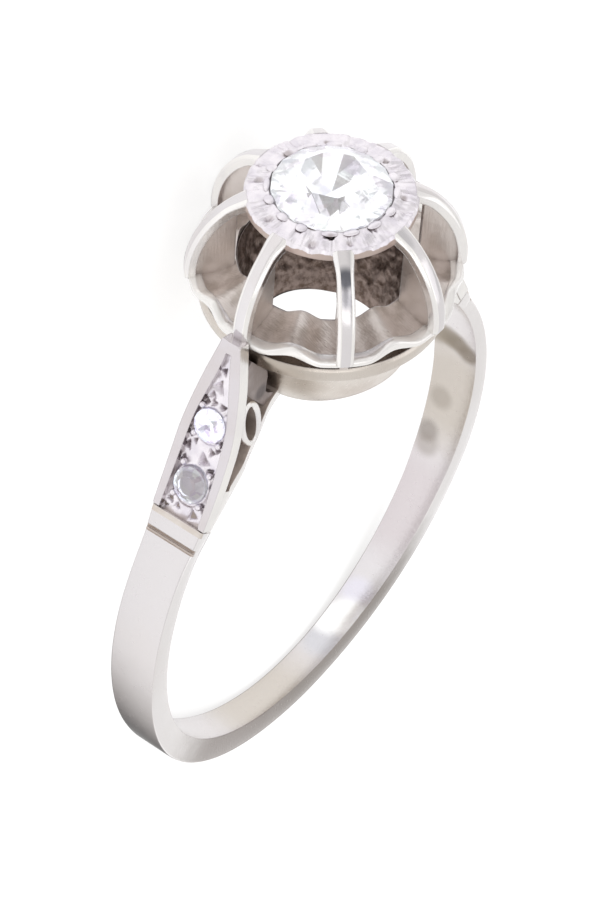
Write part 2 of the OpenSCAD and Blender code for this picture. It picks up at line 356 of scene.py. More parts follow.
def metal_grain_group():
    """Cloudy tone, uneven gloss and fine scratches of worn metal."""
    if "Metal grain" in bpy.data.node_groups:
        return bpy.data.node_groups["Metal grain"]
    group, given, end = new_group(
        "Metal grain",
        {"Metal": COLOUR, "Tarnish": COLOUR, "Patches per metre": NUMBER, "Tarnish share": NUMBER,
         "Gloss": NUMBER, "Gloss spread": NUMBER, "Grains per metre": NUMBER},
        {"Color": COLOUR, "Roughness": NUMBER, "Height": NUMBER})
    place = put(group, "TexCoord", (-900, 0)).outputs["Object"]
    patches = clouds(group, (-700, 200), place, given["Patches per metre"], 4, 0.6)
    mask = between(group, (-500, 200), patches, 0.38, 0.68)
    share = math_node(group, (-300, 200), "MULTIPLY", mask, given["Tarnish share"])
    grains = clouds(group, (-700, -100), place, given["Grains per metre"], 3, 0.7)
    stretched = put(group, "Mapping", (-900, -350), Vector=place, Rotation=(0.3, 0.9, 0.4),
                    Scale=(1, 14, 3)).outputs["Vector"]
    scratches = clouds(group, (-700, -350), stretched, 1400, 2)
    uneven = math_node(group, (-500, -100), "ADD", grains, scratches)
    centred = math_node(group, (-300, -100), "SUBTRACT", uneven, 1)
    plug(group, end, Color=blend(group, (-100, 200), share, given["Metal"], given["Tarnish"]),
         Roughness=math_node(group, (-100, -100), "MULTIPLY_ADD", centred, given["Gloss spread"],
                             given["Gloss"], clamp=True),
         Height=uneven)
    return group


def crevice_shade_and_dirt_group():
    """Painted shade where the metal is closed in, found by ambient occlusion and broken up by
    specks: it stands for both the shade and the dirt in corners.
    """
    if "Crevice shade and dirt" in bpy.data.node_groups:
        return bpy.data.node_groups["Crevice shade and dirt"]
    group, given, end = new_group(
        "Crevice shade and dirt", {"Color": COLOUR, "Grime": COLOUR, "Strength": NUMBER, "Reach": NUMBER},
        {"Color": COLOUR})
    # How open the metal is round a point: closed-in places get the painted shade and dirt
    open_air = put(group, "AmbientOcclusion", (-700, 0), samples=8, only_local=False,
                   Distance=given["Reach"]).outputs["AO"]
    place = put(group, "TexCoord", (-900, -250)).outputs["Object"]
    specks = clouds(group, (-700, -250), place, 2600, 4)
    broken = math_node(group, (-500, -100), "MULTIPLY_ADD", specks, 0.35, open_air)
    mask = between(group, (-300, -100), broken, 0.95, 0.35)
    share = math_node(group, (-150, -100), "MULTIPLY", mask, given["Strength"], clamp=True)
    plug(group, end, Color=blend(group, (0, 100), share, given["Color"], given["Grime"]))
    return group


def edge_group():
    """Edges rubbed bright and a little rounded by wear."""
    if "Edge wear" in bpy.data.node_groups:
        return bpy.data.node_groups["Edge wear"]
    group, given, end = new_group(
        "Edge wear", {"Color": COLOUR, "Worn metal": COLOUR, "Strength": NUMBER},
        {"Color": COLOUR, "Normal": DIRECTION})
    rounded = put(group, "Bevel", (-700, 0), samples=4, Radius=0.05 * MM).outputs["Normal"]
    flat = put(group, "NewGeometry", (-700, -200)).outputs["Normal"]
    same = put(group, "VectorMath", (-500, -100), rounded, flat, operation="DOT_PRODUCT")
    mask = between(group, (-300, -100), same.outputs["Value"], 0.995, 0.85, steps="LINEAR")
    share = math_node(group, (-150, -100), "MULTIPLY", mask, given["Strength"], clamp=True)
    plug(group, end, Color=blend(group, (0, 100), share, given["Color"], given["Worn metal"]),
         Normal=rounded)
    return group


def painted_light_patch_group():
    """A soft patch of another tone round one place, used to paint shade, reflections and
    highlights.
    """
    if "Tarnish patch" in bpy.data.node_groups:
        return bpy.data.node_groups["Tarnish patch"]
    group, given, end = new_group(
        "Tarnish patch", {"Color": COLOUR, "Patch": COLOUR, "Middle": DIRECTION, "Reach": NUMBER,
                          "Strength": NUMBER},
        {"Color": COLOUR})
    place = put(group, "TexCoord", (-900, 0)).outputs["Object"]
    away = put(group, "VectorMath", (-700, 0), place, given["Middle"], operation="DISTANCE")
    cloud = clouds(group, (-900, -250), place, 700, 3)
    ragged = math_node(group, (-700, -250), "MULTIPLY_ADD", cloud, 0.5, 0.75)
    reach = math_node(group, (-550, -250), "MULTIPLY", ragged, given["Reach"])
    near = math_node(group, (-500, 0), "DIVIDE", away.outputs["Value"], reach)
    mask = between(group, (-350, 0), near, 1, 0.35)
    share = math_node(group, (-150, 0), "MULTIPLY", mask, given["Strength"], clamp=True)
    plug(group, end, Color=blend(group, (0, 100), share, given["Color"], given["Patch"]))
    return group


# Finishes

# Painted light and shade at places: middle in the ring's frame in mm, reach in mm, tone and
# strength.
# A later one lies over the ones before it
# Painted shade and dark reflections on the lower part of the band's outside
OUTSIDE_SPOTS = [((0, -9.1, -3.6), 5.2, (0.56, 0.53, 0.52), 0.85),
                 ((-0.2, -7, -6.5), 2, (0.2, 0.19, 0.19), 0.9)]
# Painted dark reflections on the lower part of the band's flat sides
SIDE_SPOTS = [((0.7, -4.4, -8.6), 5.6, (0.34, 0.305, 0.29), 0.95),
              ((0.7, 2.2, -9.2), 6.8, (0.29, 0.26, 0.24), 0.95)]
# On the band's inside: painted reflections in tan, grey and lilac, painted shade in dark brown
# under the shoulder, and painted highlights in white
INSIDE_SPOTS = [((0, -2, -8.3), 3.6, (0.61, 0.56, 0.50), 0.8),
                ((-0.1, 8.3, -0.9), 3.5, (0.56, 0.51, 0.455), 0.85),
                ((-0.3, 6.6, -5.4), 3, (0.65, 0.595, 0.61), 0.8),
                ((-0.76, 8.34, 1.65), 0.85, (0.30, 0.25, 0.19), 0.75),
                ((-0.3, 8.33, 1.8), 0.8, (0.26, 0.215, 0.16), 0.8),
                ((0.12, 8.35, 1.58), 0.75, (0.24, 0.2, 0.155), 0.85),
                ((0.55, 8.4, 1.25), 0.7, (0.24, 0.2, 0.16), 0.85),
                ((-0.32, 8.38, -1.45), 0.65, (0.33, 0.29, 0.25), 0.5),
                ((-0.45, 7.97, -2.9), 0.6, (0.26, 0.23, 0.21), 0.6),
                ((-0.3, 7.8, -3.4), 0.65, (0.33, 0.29, 0.26), 0.5),
                ((0, 1.6, -8.34), 1, (0.64, 0.64, 0.68), 0.8),
                ((-0.05, 3.7, -7.65), 0.8, (0.78, 0.76, 0.86), 0.7),
                ((-0.3, 2.45, -8.14), 0.95, (1, 1, 1), 1), ((0.1, 2.8, -8.02), 0.9, (1, 1, 1), 1),
                ((0.5, 2.85, -8), 0.9, (1, 1, 1), 1)]
# Painted dark reflection on one rib
RIB_SPOTS = [((2.68, -2.68, 13.75), 0.45, (0.3, 0.3, 0.34), 0.6),
             ((2.39, -2.39, 14.2), 0.5, (0.07, 0.075, 0.095), 0.88)]
# Painted shade on the near strut
STRUT_SPOTS = [((0.42, -3.6, 9.8), 1, (0.26, 0.215, 0.2), 0.8),
               ((0.42, -3.65, 8.95), 0.45, (0.1, 0.08, 0.08), 0.8)]
# Painted shade on the collar's lower near side, by the strut
COLLAR_SPOTS = [((0.9, -3.4, 9.7), 1.9, (0.38, 0.32, 0.26), 0.9)]
# Small pits in the engraved plate: place, reach and depth
PLATE_PITS = [((-1.99, -1.08), 0.2, 0.1), ((-0.71, -2.24), 0.2, 0.1), ((0.98, -2.26), 0.19, 0.08),
              ((1.24, -1.7), 0.17, 0.08), ((-1.98, 0.35), 0.22, 0.08), ((1.83, -1.5), 0.14, 0.06),
              ((-1.4, 1.6), 0.15, 0.06), ((0.5, 2.1), 0.15, 0.07), ((-2.4, -0.5), 0.13, 0.06),
              ((1.9, 1.15), 0.15, 0.06)]
# The pits also get painted shade, with a height, a tone and a strength
PIT_HEIGHT, PIT_TONE, PIT_STRENGTH = 14.72, (0.3, 0.24, 0.23), 0.6
PIT_SPOTS = [((x, y, PIT_HEIGHT), reach, PIT_TONE, PIT_STRENGTH) for (x, y), reach, _ in PLATE_PITS]

# What a finish has unless it says otherwise. share is how much the patches' tone shows, patches and
# grains are counted per metre, the setting after relief is how strong the painted shade and dirt in
# corners are, reach in metres is how far into the open that painted shade and dirt come, glance how
# bright the metal gets where it's seen edge on, and the last setting lists its painted light and
# shade
PLAIN = dict(share=0.3, patches=400, gloss=0.2, spread=0.12, grains=5000, relief=0.2, shade_and_grime=0.6,
             reach=0.0006, wear=0.6, metallic=1, glance=1, painted_light_spots=())
BAND = dict(share=0.4, patches=150, gloss=0.24, spread=0.14, relief=0.12, shade_and_grime=0.3, wear=0.2)
# Each finish: its name, its tone and its patches' tone among the ring's colours, and its settings
FINISHES = {
    "outside": ("worn gold of the band's outside", "band", "band_tone",
                dict(BAND, glance=0.2, painted_light_spots=OUTSIDE_SPOTS)),
    "inside": ("worn gold of the band's inside", "polished", "band_tone",
               dict(BAND, painted_light_spots=INSIDE_SPOTS)),
    "sides": ("worn gold of the band's sides", "band_side", "band_tone",
              dict(BAND, painted_light_spots=SIDE_SPOTS)),
    "groove": ("tan groove gold", "groove", "tarnish", dict(
        share=0.5, patches=1200, gloss=0.4, spread=0.1, relief=0.3, shade_and_grime=0.5, reach=0.0004)),
    "foot": ("cream foot gold", "foot", "groove", dict(
        share=0.4, patches=1200, gloss=0.32, spread=0.1, shade_and_grime=0.5, reach=0.0003)),
    "rail": ("polished rail gold", "rail", "tarnish", dict(
        share=0.25, spread=0.1, relief=0.12, shade_and_grime=0.25, reach=0.0004)),
    # Painted light: a lighter copy of the gold for flat sides that the light falls on
    "lit side": ("bright side gold", "lit_side", "polished", dict(
        share=0.5, spread=0.1, relief=0.1, shade_and_grime=0.2, reach=0.0004)),
    # Painted shade: a darker, duller copy of the gold for undersides, the insides of the shoulders'
    # openings and the collar's neck
    "hollow": ("brown hollow gold", "hollow", "shade_and_grime", dict(
        share=0.5, patches=900, gloss=0.5, spread=0.15, relief=0.4, shade_and_grime=0.15, wear=0.1,
        metallic=0.35)),
    "cut": ("bright cut gold", "bright_cut", "engraved", dict(
        share=0.5, patches=1800, gloss=0.3, spread=0.14, relief=0.3, shade_and_grime=0.5, reach=0.0002)),
    "strut": ("grey brown strut gold", "strut", "shade_and_grime", dict(
        share=0.5, patches=1100, gloss=0.45, spread=0.15, relief=0.4, shade_and_grime=0.5, wear=0.3,
        metallic=0.5, painted_light_spots=STRUT_SPOTS)),
    # The rim in painted light: the lit sides' tone, made partly dull so it looks lighter, and its
    # top duller and paler still
    "rim": ("bright rim gold", "lit_side", "polished", dict(
        spread=0.1, relief=0.12, shade_and_grime=0.3, reach=0.0003, metallic=0.6)),
    "rim top": ("pale rim top gold", "lit_side", "bright_cut", dict(
        share=0.5, gloss=0.25, spread=0.1, relief=0.12, shade_and_grime=0.3, reach=0.0003, metallic=0.2)),
    "floor": ("mottled floor gold", "satin", "mottled", dict(
        share=0.75, patches=1500, gloss=0.34, spread=0.2, grains=3500, relief=0.7, shade_and_grime=0.4)),
    "cast": ("dark cast gold", "cast", "shade_and_grime", dict(
        share=0.95, patches=4200, gloss=0.5, spread=0.2, grains=3500, relief=0.9, shade_and_grime=0.5,
        reach=0.001, wear=0.3)),
    "collar": ("tan collar gold", "collar", "tarnish", dict(
        share=0.6, gloss=0.3, spread=0.15, shade_and_grime=0.7, reach=0.0007, painted_light_spots=COLLAR_SPOTS)),
    "rib": ("polished rib gold", "polished", "tarnish", dict(
        share=0.2, gloss=0.17, spread=0.1, relief=0.1, shade_and_grime=0.35, reach=0.0004, wear=0.85,
        painted_light_spots=RIB_SPOTS)),
    "satin": ("satin grey gold", "satin", "tarnish", dict(
        share=0.4, patches=900, gloss=0.36, spread=0.16, relief=0.4, shade_and_grime=0.4)),
    "plate": ("engraved plate gold", "bright_cut", "engraved", dict(
        share=0.55, patches=2200, gloss=0.3, spread=0.14, relief=0.4, shade_and_grime=0.7, reach=0.00025,
        painted_light_spots=PIT_SPOTS)),
    # Painted shade: a darker pink brown for the plate's underside and outer edge
    "plate side": ("pink brown gold", "plate_side", "tarnish", dict(
        share=0.5, patches=1200, gloss=0.36, relief=0.3, shade_and_grime=0.5, reach=0.0004)),
}
# How deep the grain and the scratches are, in metres
BUMP_HEIGHT = 0.00002


def new_material(name):
    """A material, its node tree and its shader."""
    material = bpy.data.materials.new(name)
    material.use_nodes = True
    return material, material.node_tree, material.node_tree.nodes["Principled BSDF"]


def gold(kind):
    """A worked metal: tone, gloss, scratches, painted light and shade at listed places, painted
    shade and dirt in its corners and wear on its edges.
    """
    name, tone, patch_tone, settings = FINISHES[kind]
    if name in bpy.data.materials:
        return bpy.data.materials[name]
    look = {**PLAIN, **settings}
    colours = bpy.context.scene.ring_colours
    material, tree, shader = new_material(name)
    grain = put(tree, "Group", (-1100, 200), node_tree=metal_grain_group())
    plug(tree, grain, Metal=opaque(getattr(colours, tone)),
         Tarnish=opaque(getattr(colours, patch_tone)), Patches_per_metre=look["patches"],
         Tarnish_share=look["share"], Gloss=look["gloss"], Gloss_spread=look["spread"],
         Grains_per_metre=look["grains"])
    colour = grain.outputs["Color"]
    # Painted shade, reflections and highlights, each round its own place
    for i, (middle, reach, patch, strength) in enumerate(look["painted_light_spots"]):
        spot = put(tree, "Group", (-1100 - 200 * i, 600), node_tree=painted_light_patch_group())
        plug(tree, spot, Color=colour, Patch=opaque(patch), Middle=LAY_DOWN @ Vector(middle),
             Reach=reach * MM, Strength=strength)
        colour = spot.outputs["Color"]
    # Painted shade and dirt where the metal is closed in
    crevice = put(tree, "Group", (-850, 200), node_tree=crevice_shade_and_dirt_group())
    plug(tree, crevice, Color=colour, Grime=opaque(colours.shade_and_grime), Strength=look["shade_and_grime"],
         Reach=look["reach"])
    edge = put(tree, "Group", (-600, 200), node_tree=edge_group())
    plug(tree, edge, Color=crevice.outputs["Color"], Worn_metal=opaque(colours.polished),
         Strength=look["wear"])
    bump = put(tree, "Bump", (-350, -150), Strength=look["relief"], Distance=BUMP_HEIGHT,
               Height=grain.outputs["Height"], Normal=edge.outputs["Normal"])
    plug(tree, shader, Base_Color=edge.outputs["Color"], Metallic=look["metallic"],
         Specular_Tint=(look["glance"],) * 3 + (1,), Roughness=grain.outputs["Roughness"],
         Normal=bump.outputs["Normal"])
    return material


# How far a facet's direction moves the pattern of the painted reflections behind it
FACET_TURN = 0.0006
# How strongly the stones bend light
STONE_BEND = 2.2


def stone_finish(name, tone, tint, cells, glow):
    """Clear stone whose facets show painted reflections in soft grey and blue tones, with a little
    cloudiness, a painted play of colours and a painted glow.
    """
    if name in bpy.data.materials:
        return bpy.data.materials[name]
    material, tree, shader = new_material(name)
    place = put(tree, "TexCoord", (-1200, 0)).outputs
    bent = put(tree, "VectorMath", (-1000, 150), place["Normal"], (FACET_TURN,) * 3,
               place["Object"], operation="MULTIPLY_ADD")
    facets = put(tree, "TexVoronoi", (-800, 150), Vector=bent.outputs["Vector"], Scale=cells,
                 Randomness=0.9).outputs["Color"]
    shade = put(tree, "SeparateColor", (-600, 150), Color=facets).outputs[0]
    share = between(tree, (-450, 150), shade, 0.2, 1)
    toned = blend(tree, (-250, 150), share, opaque(tone), opaque(tint))
    # Painted play of colours: a little of the cells' random colours
    painted_fire = blend(tree, (-100, 150), 0.08, toned, facets)
    film = clouds(tree, (-800, -150), place["Object"], 900, 3)
    # The painted glow makes the stone light itself from within
    plug(tree, shader, Base_Color=painted_fire, Emission_Color=painted_fire, Emission_Strength=glow,
         Roughness=between(tree, (-300, -150), film, 0, 1, top=0.14, steps="LINEAR"))
    shader.inputs["IOR"].default_value = STONE_BEND
    shader.inputs["Transmission Weight"].default_value = 1
    return material


# What a user would change

def a_length(name, default, low, high, description):
    """A length in metres."""
    return FloatProperty(name=name, default=default, min=low, max=high, description=description,
                         unit="LENGTH", precision=5)


class RingSizes(bpy.types.PropertyGroup):
    finger_radius: a_length("Finger radius", 0.0085, 0.007, 0.011, "Radius of the finger hole")
    outer_radius: a_length("Band radius", 0.00922, 0.008, 0.012,
                           "Outer radius of the band at its sides")
    back_extra: a_length("Extra at the back", 0.00038, 0, 0.0005,
                         "How far the band's outer circle is set back")
    band_edge: a_length("Band edge", 0.00009, 0.00002, 0.0002,
                        "Size of the rounding along the band's outer edges")
    bar_thickness: a_length("Panel bar", 0.00046, 0.0003, 0.0006,
                            "Thickness of the bar that carries a panel")
    under_bar: a_length("Under bar", 0.00038, 0.0003, 0.0005,
                        "Thickness of the bar that follows the finger hole")
    panel_depth: a_length("Panel depth", 0.0002, 0.0001, 0.0003, "Depth of the sunk panel's floor")
    upper_stone: a_length("Upper small stone", 0.00112, 0.0009, 0.0012,
                          "Diameter of each upper small stone")
    lower_stone: a_length("Lower small stone", 0.0012, 0.0009, 0.00124,
                          "Diameter of each lower small stone")
    ribs: IntProperty(name="Ribs", default=8, min=4, max=12,
                      description="Number of ribs, and of lobes of the gallery")
    rim_radius: a_length("Rim radius", 0.00434, 0.004, 0.0048, "Outer radius of the gallery's rim")
    rim_height: a_length("Rim height", 0.01155, 0.011, 0.012, "Height of the rim's top at a rib")
    rim_wave: a_length("Rim wave", 0.0003, 0, 0.0004, "Rise of the rim from a rib to a notch")
    plate_radius: a_length("Plate radius", 0.0027, 0.0025, 0.003, "Radius of the illusion plate")
    plate_height: a_length("Plate height", 0.01468, 0.014, 0.015, "Height of the plate's edge")
    stone_radius: a_length("Main stone radius", 0.0019, 0.0018, 0.0021, "Radius of the main stone")


def a_colour(name, description, default):
    return FloatVectorProperty(name=name, description=description, default=default,
                               subtype="COLOR", size=3, min=0, max=1)


class RingColours(bpy.types.PropertyGroup):
    polished: a_colour("Polished gold", "Ribs and inside of the band", (0.74, 0.715, 0.73))
    # Painted light on the rim and on the flat sides of the ribs and the shoulders' bars
    lit_side: a_colour("Lit sides", "Rim and sides of the shoulders' bars",
                          (0.88, 0.86, 0.84))
    # Painted shade on undersides, in the shoulders' openings and on the collar's neck
    hollow: a_colour("Painted shade brown", "Inside of the shoulders' openings", (0.46, 0.39, 0.35))
    band: a_colour("Band", "Outside of the band", (0.70, 0.675, 0.685))
    # Painted light: the band's flat sides are lighter than its outside
    band_side: a_colour("Band sides", "Flat sides of the band", (0.84, 0.82, 0.825))
    mottled: a_colour("Mottled gold", "Darker patches on the fluted floor", (0.43, 0.375, 0.335))
    strut: a_colour("Struts", "Struts between the shoulders and the collar", (0.37, 0.32, 0.31))
    engraved: a_colour("Engraved plate", "Softer tone on the engraved plate", (0.62, 0.58, 0.65))
    rail: a_colour("Rail gold", "Rails and bars of the shoulders", (0.66, 0.625, 0.65))
    band_tone: a_colour("Worn band", "Warm patches on the band", (0.68, 0.64, 0.625))
    satin: a_colour("Satin gold", "Fins and fluted floor", (0.70, 0.64, 0.61))
    collar: a_colour("Collar gold", "Base of the head", (0.65, 0.60, 0.55))
    groove: a_colour("Groove gold", "Floor of the wide cross groove", (0.52, 0.44, 0.385))
    foot: a_colour("Foot gold", "Narrow step at the foot of the panels", (0.68, 0.63, 0.59))
    # Painted shade on the plate's underside and outer edge
    plate_side: a_colour("Plate side", "Edge of the plate under the stone", (0.56, 0.45, 0.41))
    bright_cut: a_colour("Bright cut gold", "Engraved plate and panels", (0.85, 0.81, 0.85))
    cast: a_colour("Cast gold", "Rough inside of the head", (0.32, 0.25, 0.222))
    tarnish: a_colour("Tarnish", "Dull patches on the metal", (0.52, 0.45, 0.40))
    # Painted shade and dirt: the colour laid in corners where shade falls, and the tone of random
    # dark patches on some finishes
    shade_and_grime: a_colour("Grime", "Painted shade and dirt in corners", (0.13, 0.09, 0.07))
    stone: a_colour("Stone", "Tone of the main stone", (0.96, 0.963, 0.98))
    # The darker facets' tints are painted reflections; the stones' tones also feed their painted
    # glow
    stone_shade: a_colour("Stone shade", "Tint of the main stone's darker facets",
                          (0.66, 0.67, 0.75))
    small_stone: a_colour("Small stones", "Tone of the small stones", (0.77, 0.77, 0.85))
    small_shade: a_colour("Small stones' shade", "Tint of the small stones' darker facets",
                          (0.42, 0.41, 0.53))
    table: a_colour("Table", "Pale floor under the ring", (0.4, 0.4, 0.4))


# Band

# The band ends in the fine groove at the panel's foot: angles down from the head
BAND_END = math.radians(51.3)
# Down to here the band follows the shoulder's top line
SHOULDER_END = math.radians(56)
# The wide cross groove: angle down from the head, width, and radius of its floor
GROOVE_ANGLE, GROOVE_WIDTH, GROOVE_FLOOR = math.radians(56.2), 0.22, 8.96
# Width of its walls, and its deepest line: place across it, and how much deeper it is
GROOVE_WALL, GROOVE_LINE, GROOVE_DEEPER = 0.03, 0.02, 0.05
# Edges this far out from the finger hole belong to the band's outside
OUTER_EDGE = 0.2
# The rounding along the finger hole, and that of the band's ends
INNER_ROUNDING, END_ROUNDING = 0.035, 0.05
BAND_STEPS = 200
# Finishes of the band, in the order its mesh keeps them
OUTSIDE, GROOVE, INSIDE, SIDES, FOOT = range(5)


def cut_groove(bm, side):
    """Presses the wide cross groove into one side of the band."""
    along = Vector((0, side * math.cos(GROOVE_ANGLE), -math.sin(GROOVE_ANGLE)))
    out = Vector((0, side * math.sin(GROOVE_ANGLE), math.cos(GROOVE_ANGLE)))
    middle, half = out * GROOVE_FLOOR, GROOVE_WIDTH / 2
    for offset in (-half, -half + GROOVE_WALL, GROOVE_LINE, half - GROOVE_WALL, half):
        bmesh.ops.bisect_plane(bm, geom=all_of(bm), dist=1e-5, plane_co=middle + along * offset,
                               plane_no=along)
    for vert in bm.verts:
        place, height = (vert.co - middle).dot(along), vert.co.dot(out) - GROOVE_FLOOR
        if abs(place) < half - 0.01 and height > 0:
            deepest = abs(place - GROOVE_LINE) < 0.01
            vert.co -= out * (height + GROOVE_DEEPER * deepest)
    mark(bm, GROOVE, lambda face, centre: abs((centre - middle).dot(along)) < half
         and -0.06 < centre.dot(out) - GROOVE_FLOOR < 1)


class RING_OT_band(bpy.types.Operator):
    """Models the band, with its tapered back and cross grooves"""
    bl_idname = "ring.band"
    bl_label = "Band"

    def execute(self, context):
        sizes = context.scene.ring_sizes
        inner, outer = mm(sizes.finger_radius), mm(sizes.outer_radius)
        set_back = mm(sizes.back_extra)
        bm = bmesh.new()
        section = [(x, 0, -r)
                   for x, r in ((-0.9, inner), (0.9, inner), (0.9, outer), (-0.9, outer))]
        reach = math.pi - BAND_END
        swept(bm, section, (1, 0, 0), ORIGIN, -reach, 2 * reach, BAND_STEPS)
        for vert in bm.verts:
            y, z = vert.co.y, vert.co.z
            if math.hypot(y, z) > (inner + outer) / 2:
                angle = math.atan2(abs(y), z)
                radius = (math.sqrt(outer ** 2 - (set_back * math.sin(angle)) ** 2)
                          - set_back * math.cos(angle))
                if angle < SHOULDER_END:
                    radius = max(radius, panel_line_radius(angle))
                vert.co.y = math.copysign(math.sin(angle), y) * radius
                vert.co.z = math.cos(angle) * radius
            vert.co.x = math.copysign(table(BAND_HALF_WIDTHS, vert.co.z), vert.co.x)
        soften(bm, mm(sizes.band_edge), lambda edge: runs_round(edge) and all(
            vert.co.yz.length > inner + OUTER_EDGE for vert in edge.verts), segments=3)
        soften(bm, INNER_ROUNDING, lambda edge: runs_round(edge) and all(
            vert.co.yz.length < inner + 0.02 for vert in edge.verts))
        soften(bm, END_ROUNDING, lambda edge: runs_across(edge) and all(
            vert.co.z > 5.6 and vert.co.yz.length > inner + 0.3 for vert in edge.verts))
        bmesh.ops.recalc_face_normals(bm, faces=bm.faces)
        mark(bm, INSIDE, lambda face, middle: middle.yz.dot(face.normal.yz) < 0)
        # The flat sides get the lighter painted light tone
        mark(bm, SIDES, lambda face, middle: abs(face.normal.x) > 0.3)
        mark(bm, FOOT, lambda face, middle: middle.yz.length > inner + 0.3
             and math.atan2(abs(middle.y), middle.z) < BAND_END + 0.012)
        for side in (-1, 1):
            cut_groove(bm, side)
        keep_piece(context, bm, "band", "outside", "groove", "inside", "sides", "foot")
        return {"FINISHED"}


# Shoulders

# Height where the rails end, at the rim
RAIL_TOP = 11.72
# The finishes of a shoulder's bars: their top, their flat sides in painted light, and their
# underside in painted shade
TOP, FLAT, UNDER = range(3)


def rail_sheet(bm, rows):
    """Open sheet over a shoulder's top line: two rails with the panel's opening between."""
    bmesh.ops.create_grid(bm, x_segments=3, y_segments=len(rows) - 1, size=1)
    middle = [face for face in bm.faces if abs(face.calc_center_median().x) < 0.2]
    for vert in bm.verts:
        vert.co.z = rows[round((vert.co.y + 1) / 2 * (len(rows) - 1))]
    opening = [face for face in middle if PANEL_LOW < face.calc_center_median().z < PANEL_HIGH]
    for vert in bm.verts:
        widths = BAND_HALF_WIDTHS if abs(vert.co.x) > 0.5 else PANEL_HALF_WIDTHS
        vert.co = on_panel(math.copysign(table(widths, vert.co.z), vert.co.x), vert.co.z, 0)
    bmesh.ops.delete(bm, geom=opening, context="FACES")


class RING_OT_shoulder_rails(bpy.types.Operator):
    """Models the two rails of each shoulder, round the sunk panel"""
    bl_idname = "ring.shoulder_rails"
    bl_label = "Shoulder rails"

    def execute(self, context):
        thick = mm(context.scene.ring_sizes.bar_thickness)
        bm = bmesh.new()
        rail_sheet(bm, evenly(PANEL_LOW, PANEL_HIGH, 60)[:-1] + evenly(PANEL_HIGH, RAIL_TOP, 8))
        slab(bm, lambda point: on_panel(point.x, point.z, thick))
        soften(bm, 0.05, lambda edge: all(
            (vert.co - on_panel(vert.co.x, vert.co.z, 0)).length < 0.02 for vert in edge.verts),
            segments=3, sharper_than=40)
        mark(bm, FLAT, lambda face, middle: abs(face.normal.x) > 0.8
             and abs(middle.x) > table(PANEL_HALF_WIDTHS, middle.z) + 0.08)
        mark(bm, UNDER, lambda face, middle:
             (PANEL_CENTRE - middle.yz).length > PANEL_RADIUS + thick - 0.03)
        both_sides(bm)
        keep_piece(context, bm, "shoulder_rails", "rail", "lit side", "hollow")
        return {"FINISHED"}


# Pits cut by the graver: [x, height, radius, depth], as on the shoulder that faces the viewer
GRAVER_PITS = [(-0.09, 10.57, 0.12, 0.2), (-0.14, 9.98, 0.2, 0.2), (-0.28, 9.66, 0.12, 0.16),
               (-0.45, 9.42, 0.12, 0.18), (-0.16, 9.46, 0.12, 0.16), (0.2, 9.44, 0.12, 0.18),
               (-0.6, 8.2, 0.09, 0.2), (-0.4, 8.04, 0.09, 0.16), (-0.62, 7.8, 0.13, 0.22),
               (-0.6, 7.32, 0.13, 0.2), (0.08, 7.58, 0.2, 0.22), (0.27, 7.94, 0.12, 0.18),
               (0.44, 8.1, 0.1, 0.2), (0.42, 7.36, 0.13, 0.2), (0.66, 7.0, 0.09, 0.16),
               (-0.58, 6.06, 0.12, 0.16), (-0.27, 5.94, 0.1, 0.12), (0.35, 5.92, 0.15, 0.18),
               (-0.7, 5.8, 0.1, 0.14), (0.64, 6.2, 0.08, 0.14)]
# How much deeper than listed the pits are cut, and how much each is turned from the one before
PIT_DEEPER, PIT_TURN = 1.3, 2.4
UPPER_STONE_HEIGHT, LOWER_STONE_HEIGHT = 8.79, 6.8
# The panel's floor: size of its cells, thickness, and how far it reaches under the rails
PANEL_CELL, PANEL_THICK, PANEL_UNDER = 0.035, 0.12, 0.04
# The flat sheet that becomes the floor: its lowest and highest line, and its half width
SHEET_LOW, SHEET_HIGH, SHEET_HALF = PANEL_LOW - 0.06, PANEL_HIGH + 0.1, 0.76
# A stone's seat: share of the stone's radius that is open, its collar's width and height, its slope
SEAT_OPEN, SEAT_COLLAR, SEAT_HEIGHT, SEAT_SLOPE = 0.72, 0.14, 0.09, 0.9
# The beads round a stone: radius, distance out from it, and depth of their middle
BEAD_RADIUS, BEAD_OUT, BEAD_DEPTH = 0.115, 0.12, 0.1


def graver_cut(away, radius, deep, turn):
    """Depth of a three-sided cut, at a place away from its middle."""
    out = max(away.dot(Vector((math.cos(turn + side), math.sin(turn + side))))
              for side in (0, math.tau / 3, -math.tau / 3))
    return deep * max(1 - out / (0.8 * radius), 0)


def sheet_height(point):
    """The height that a point of the flat sheet gets."""
    return (SHEET_LOW + SHEET_HIGH) / 2 + point.y * (SHEET_HIGH - SHEET_LOW) / 2


def cut_panel(vert, seats, base):
    """Moves a point of the flat sheet to the panel's floor, its cuts and its stones' seats."""
    height = sheet_height(vert.co)
    x = vert.co.x * (table(PANEL_HALF_WIDTHS, height) + PANEL_UNDER)
    spot, depth = Vector((x, height)), base
    for i, (pit_x, pit_height, radius, deep) in enumerate(GRAVER_PITS):
        away = spot - Vector((pit_x, pit_height))
        depth += graver_cut(away, radius, PIT_DEEPER * deep, PIT_TURN * i)
    for seat, radius in seats:
        gap = (spot - Vector((0, seat))).length - radius
        if gap < SEAT_COLLAR:
            depth += (base - SEAT_HEIGHT - depth) * ease(1 - max(gap, 0) / SEAT_COLLAR)
        if gap < 0:
            depth -= gap * SEAT_SLOPE
        if vert.is_boundary and gap < -0.05:
            x, height = (Vector((x, height - seat)).normalized() * radius * SEAT_OPEN
                         + Vector((0, seat)))
    depth += 0.02 * noise.noise(Vector((x * 5, height * 5, 0)))
    vert.co = on_panel(x, height, depth)


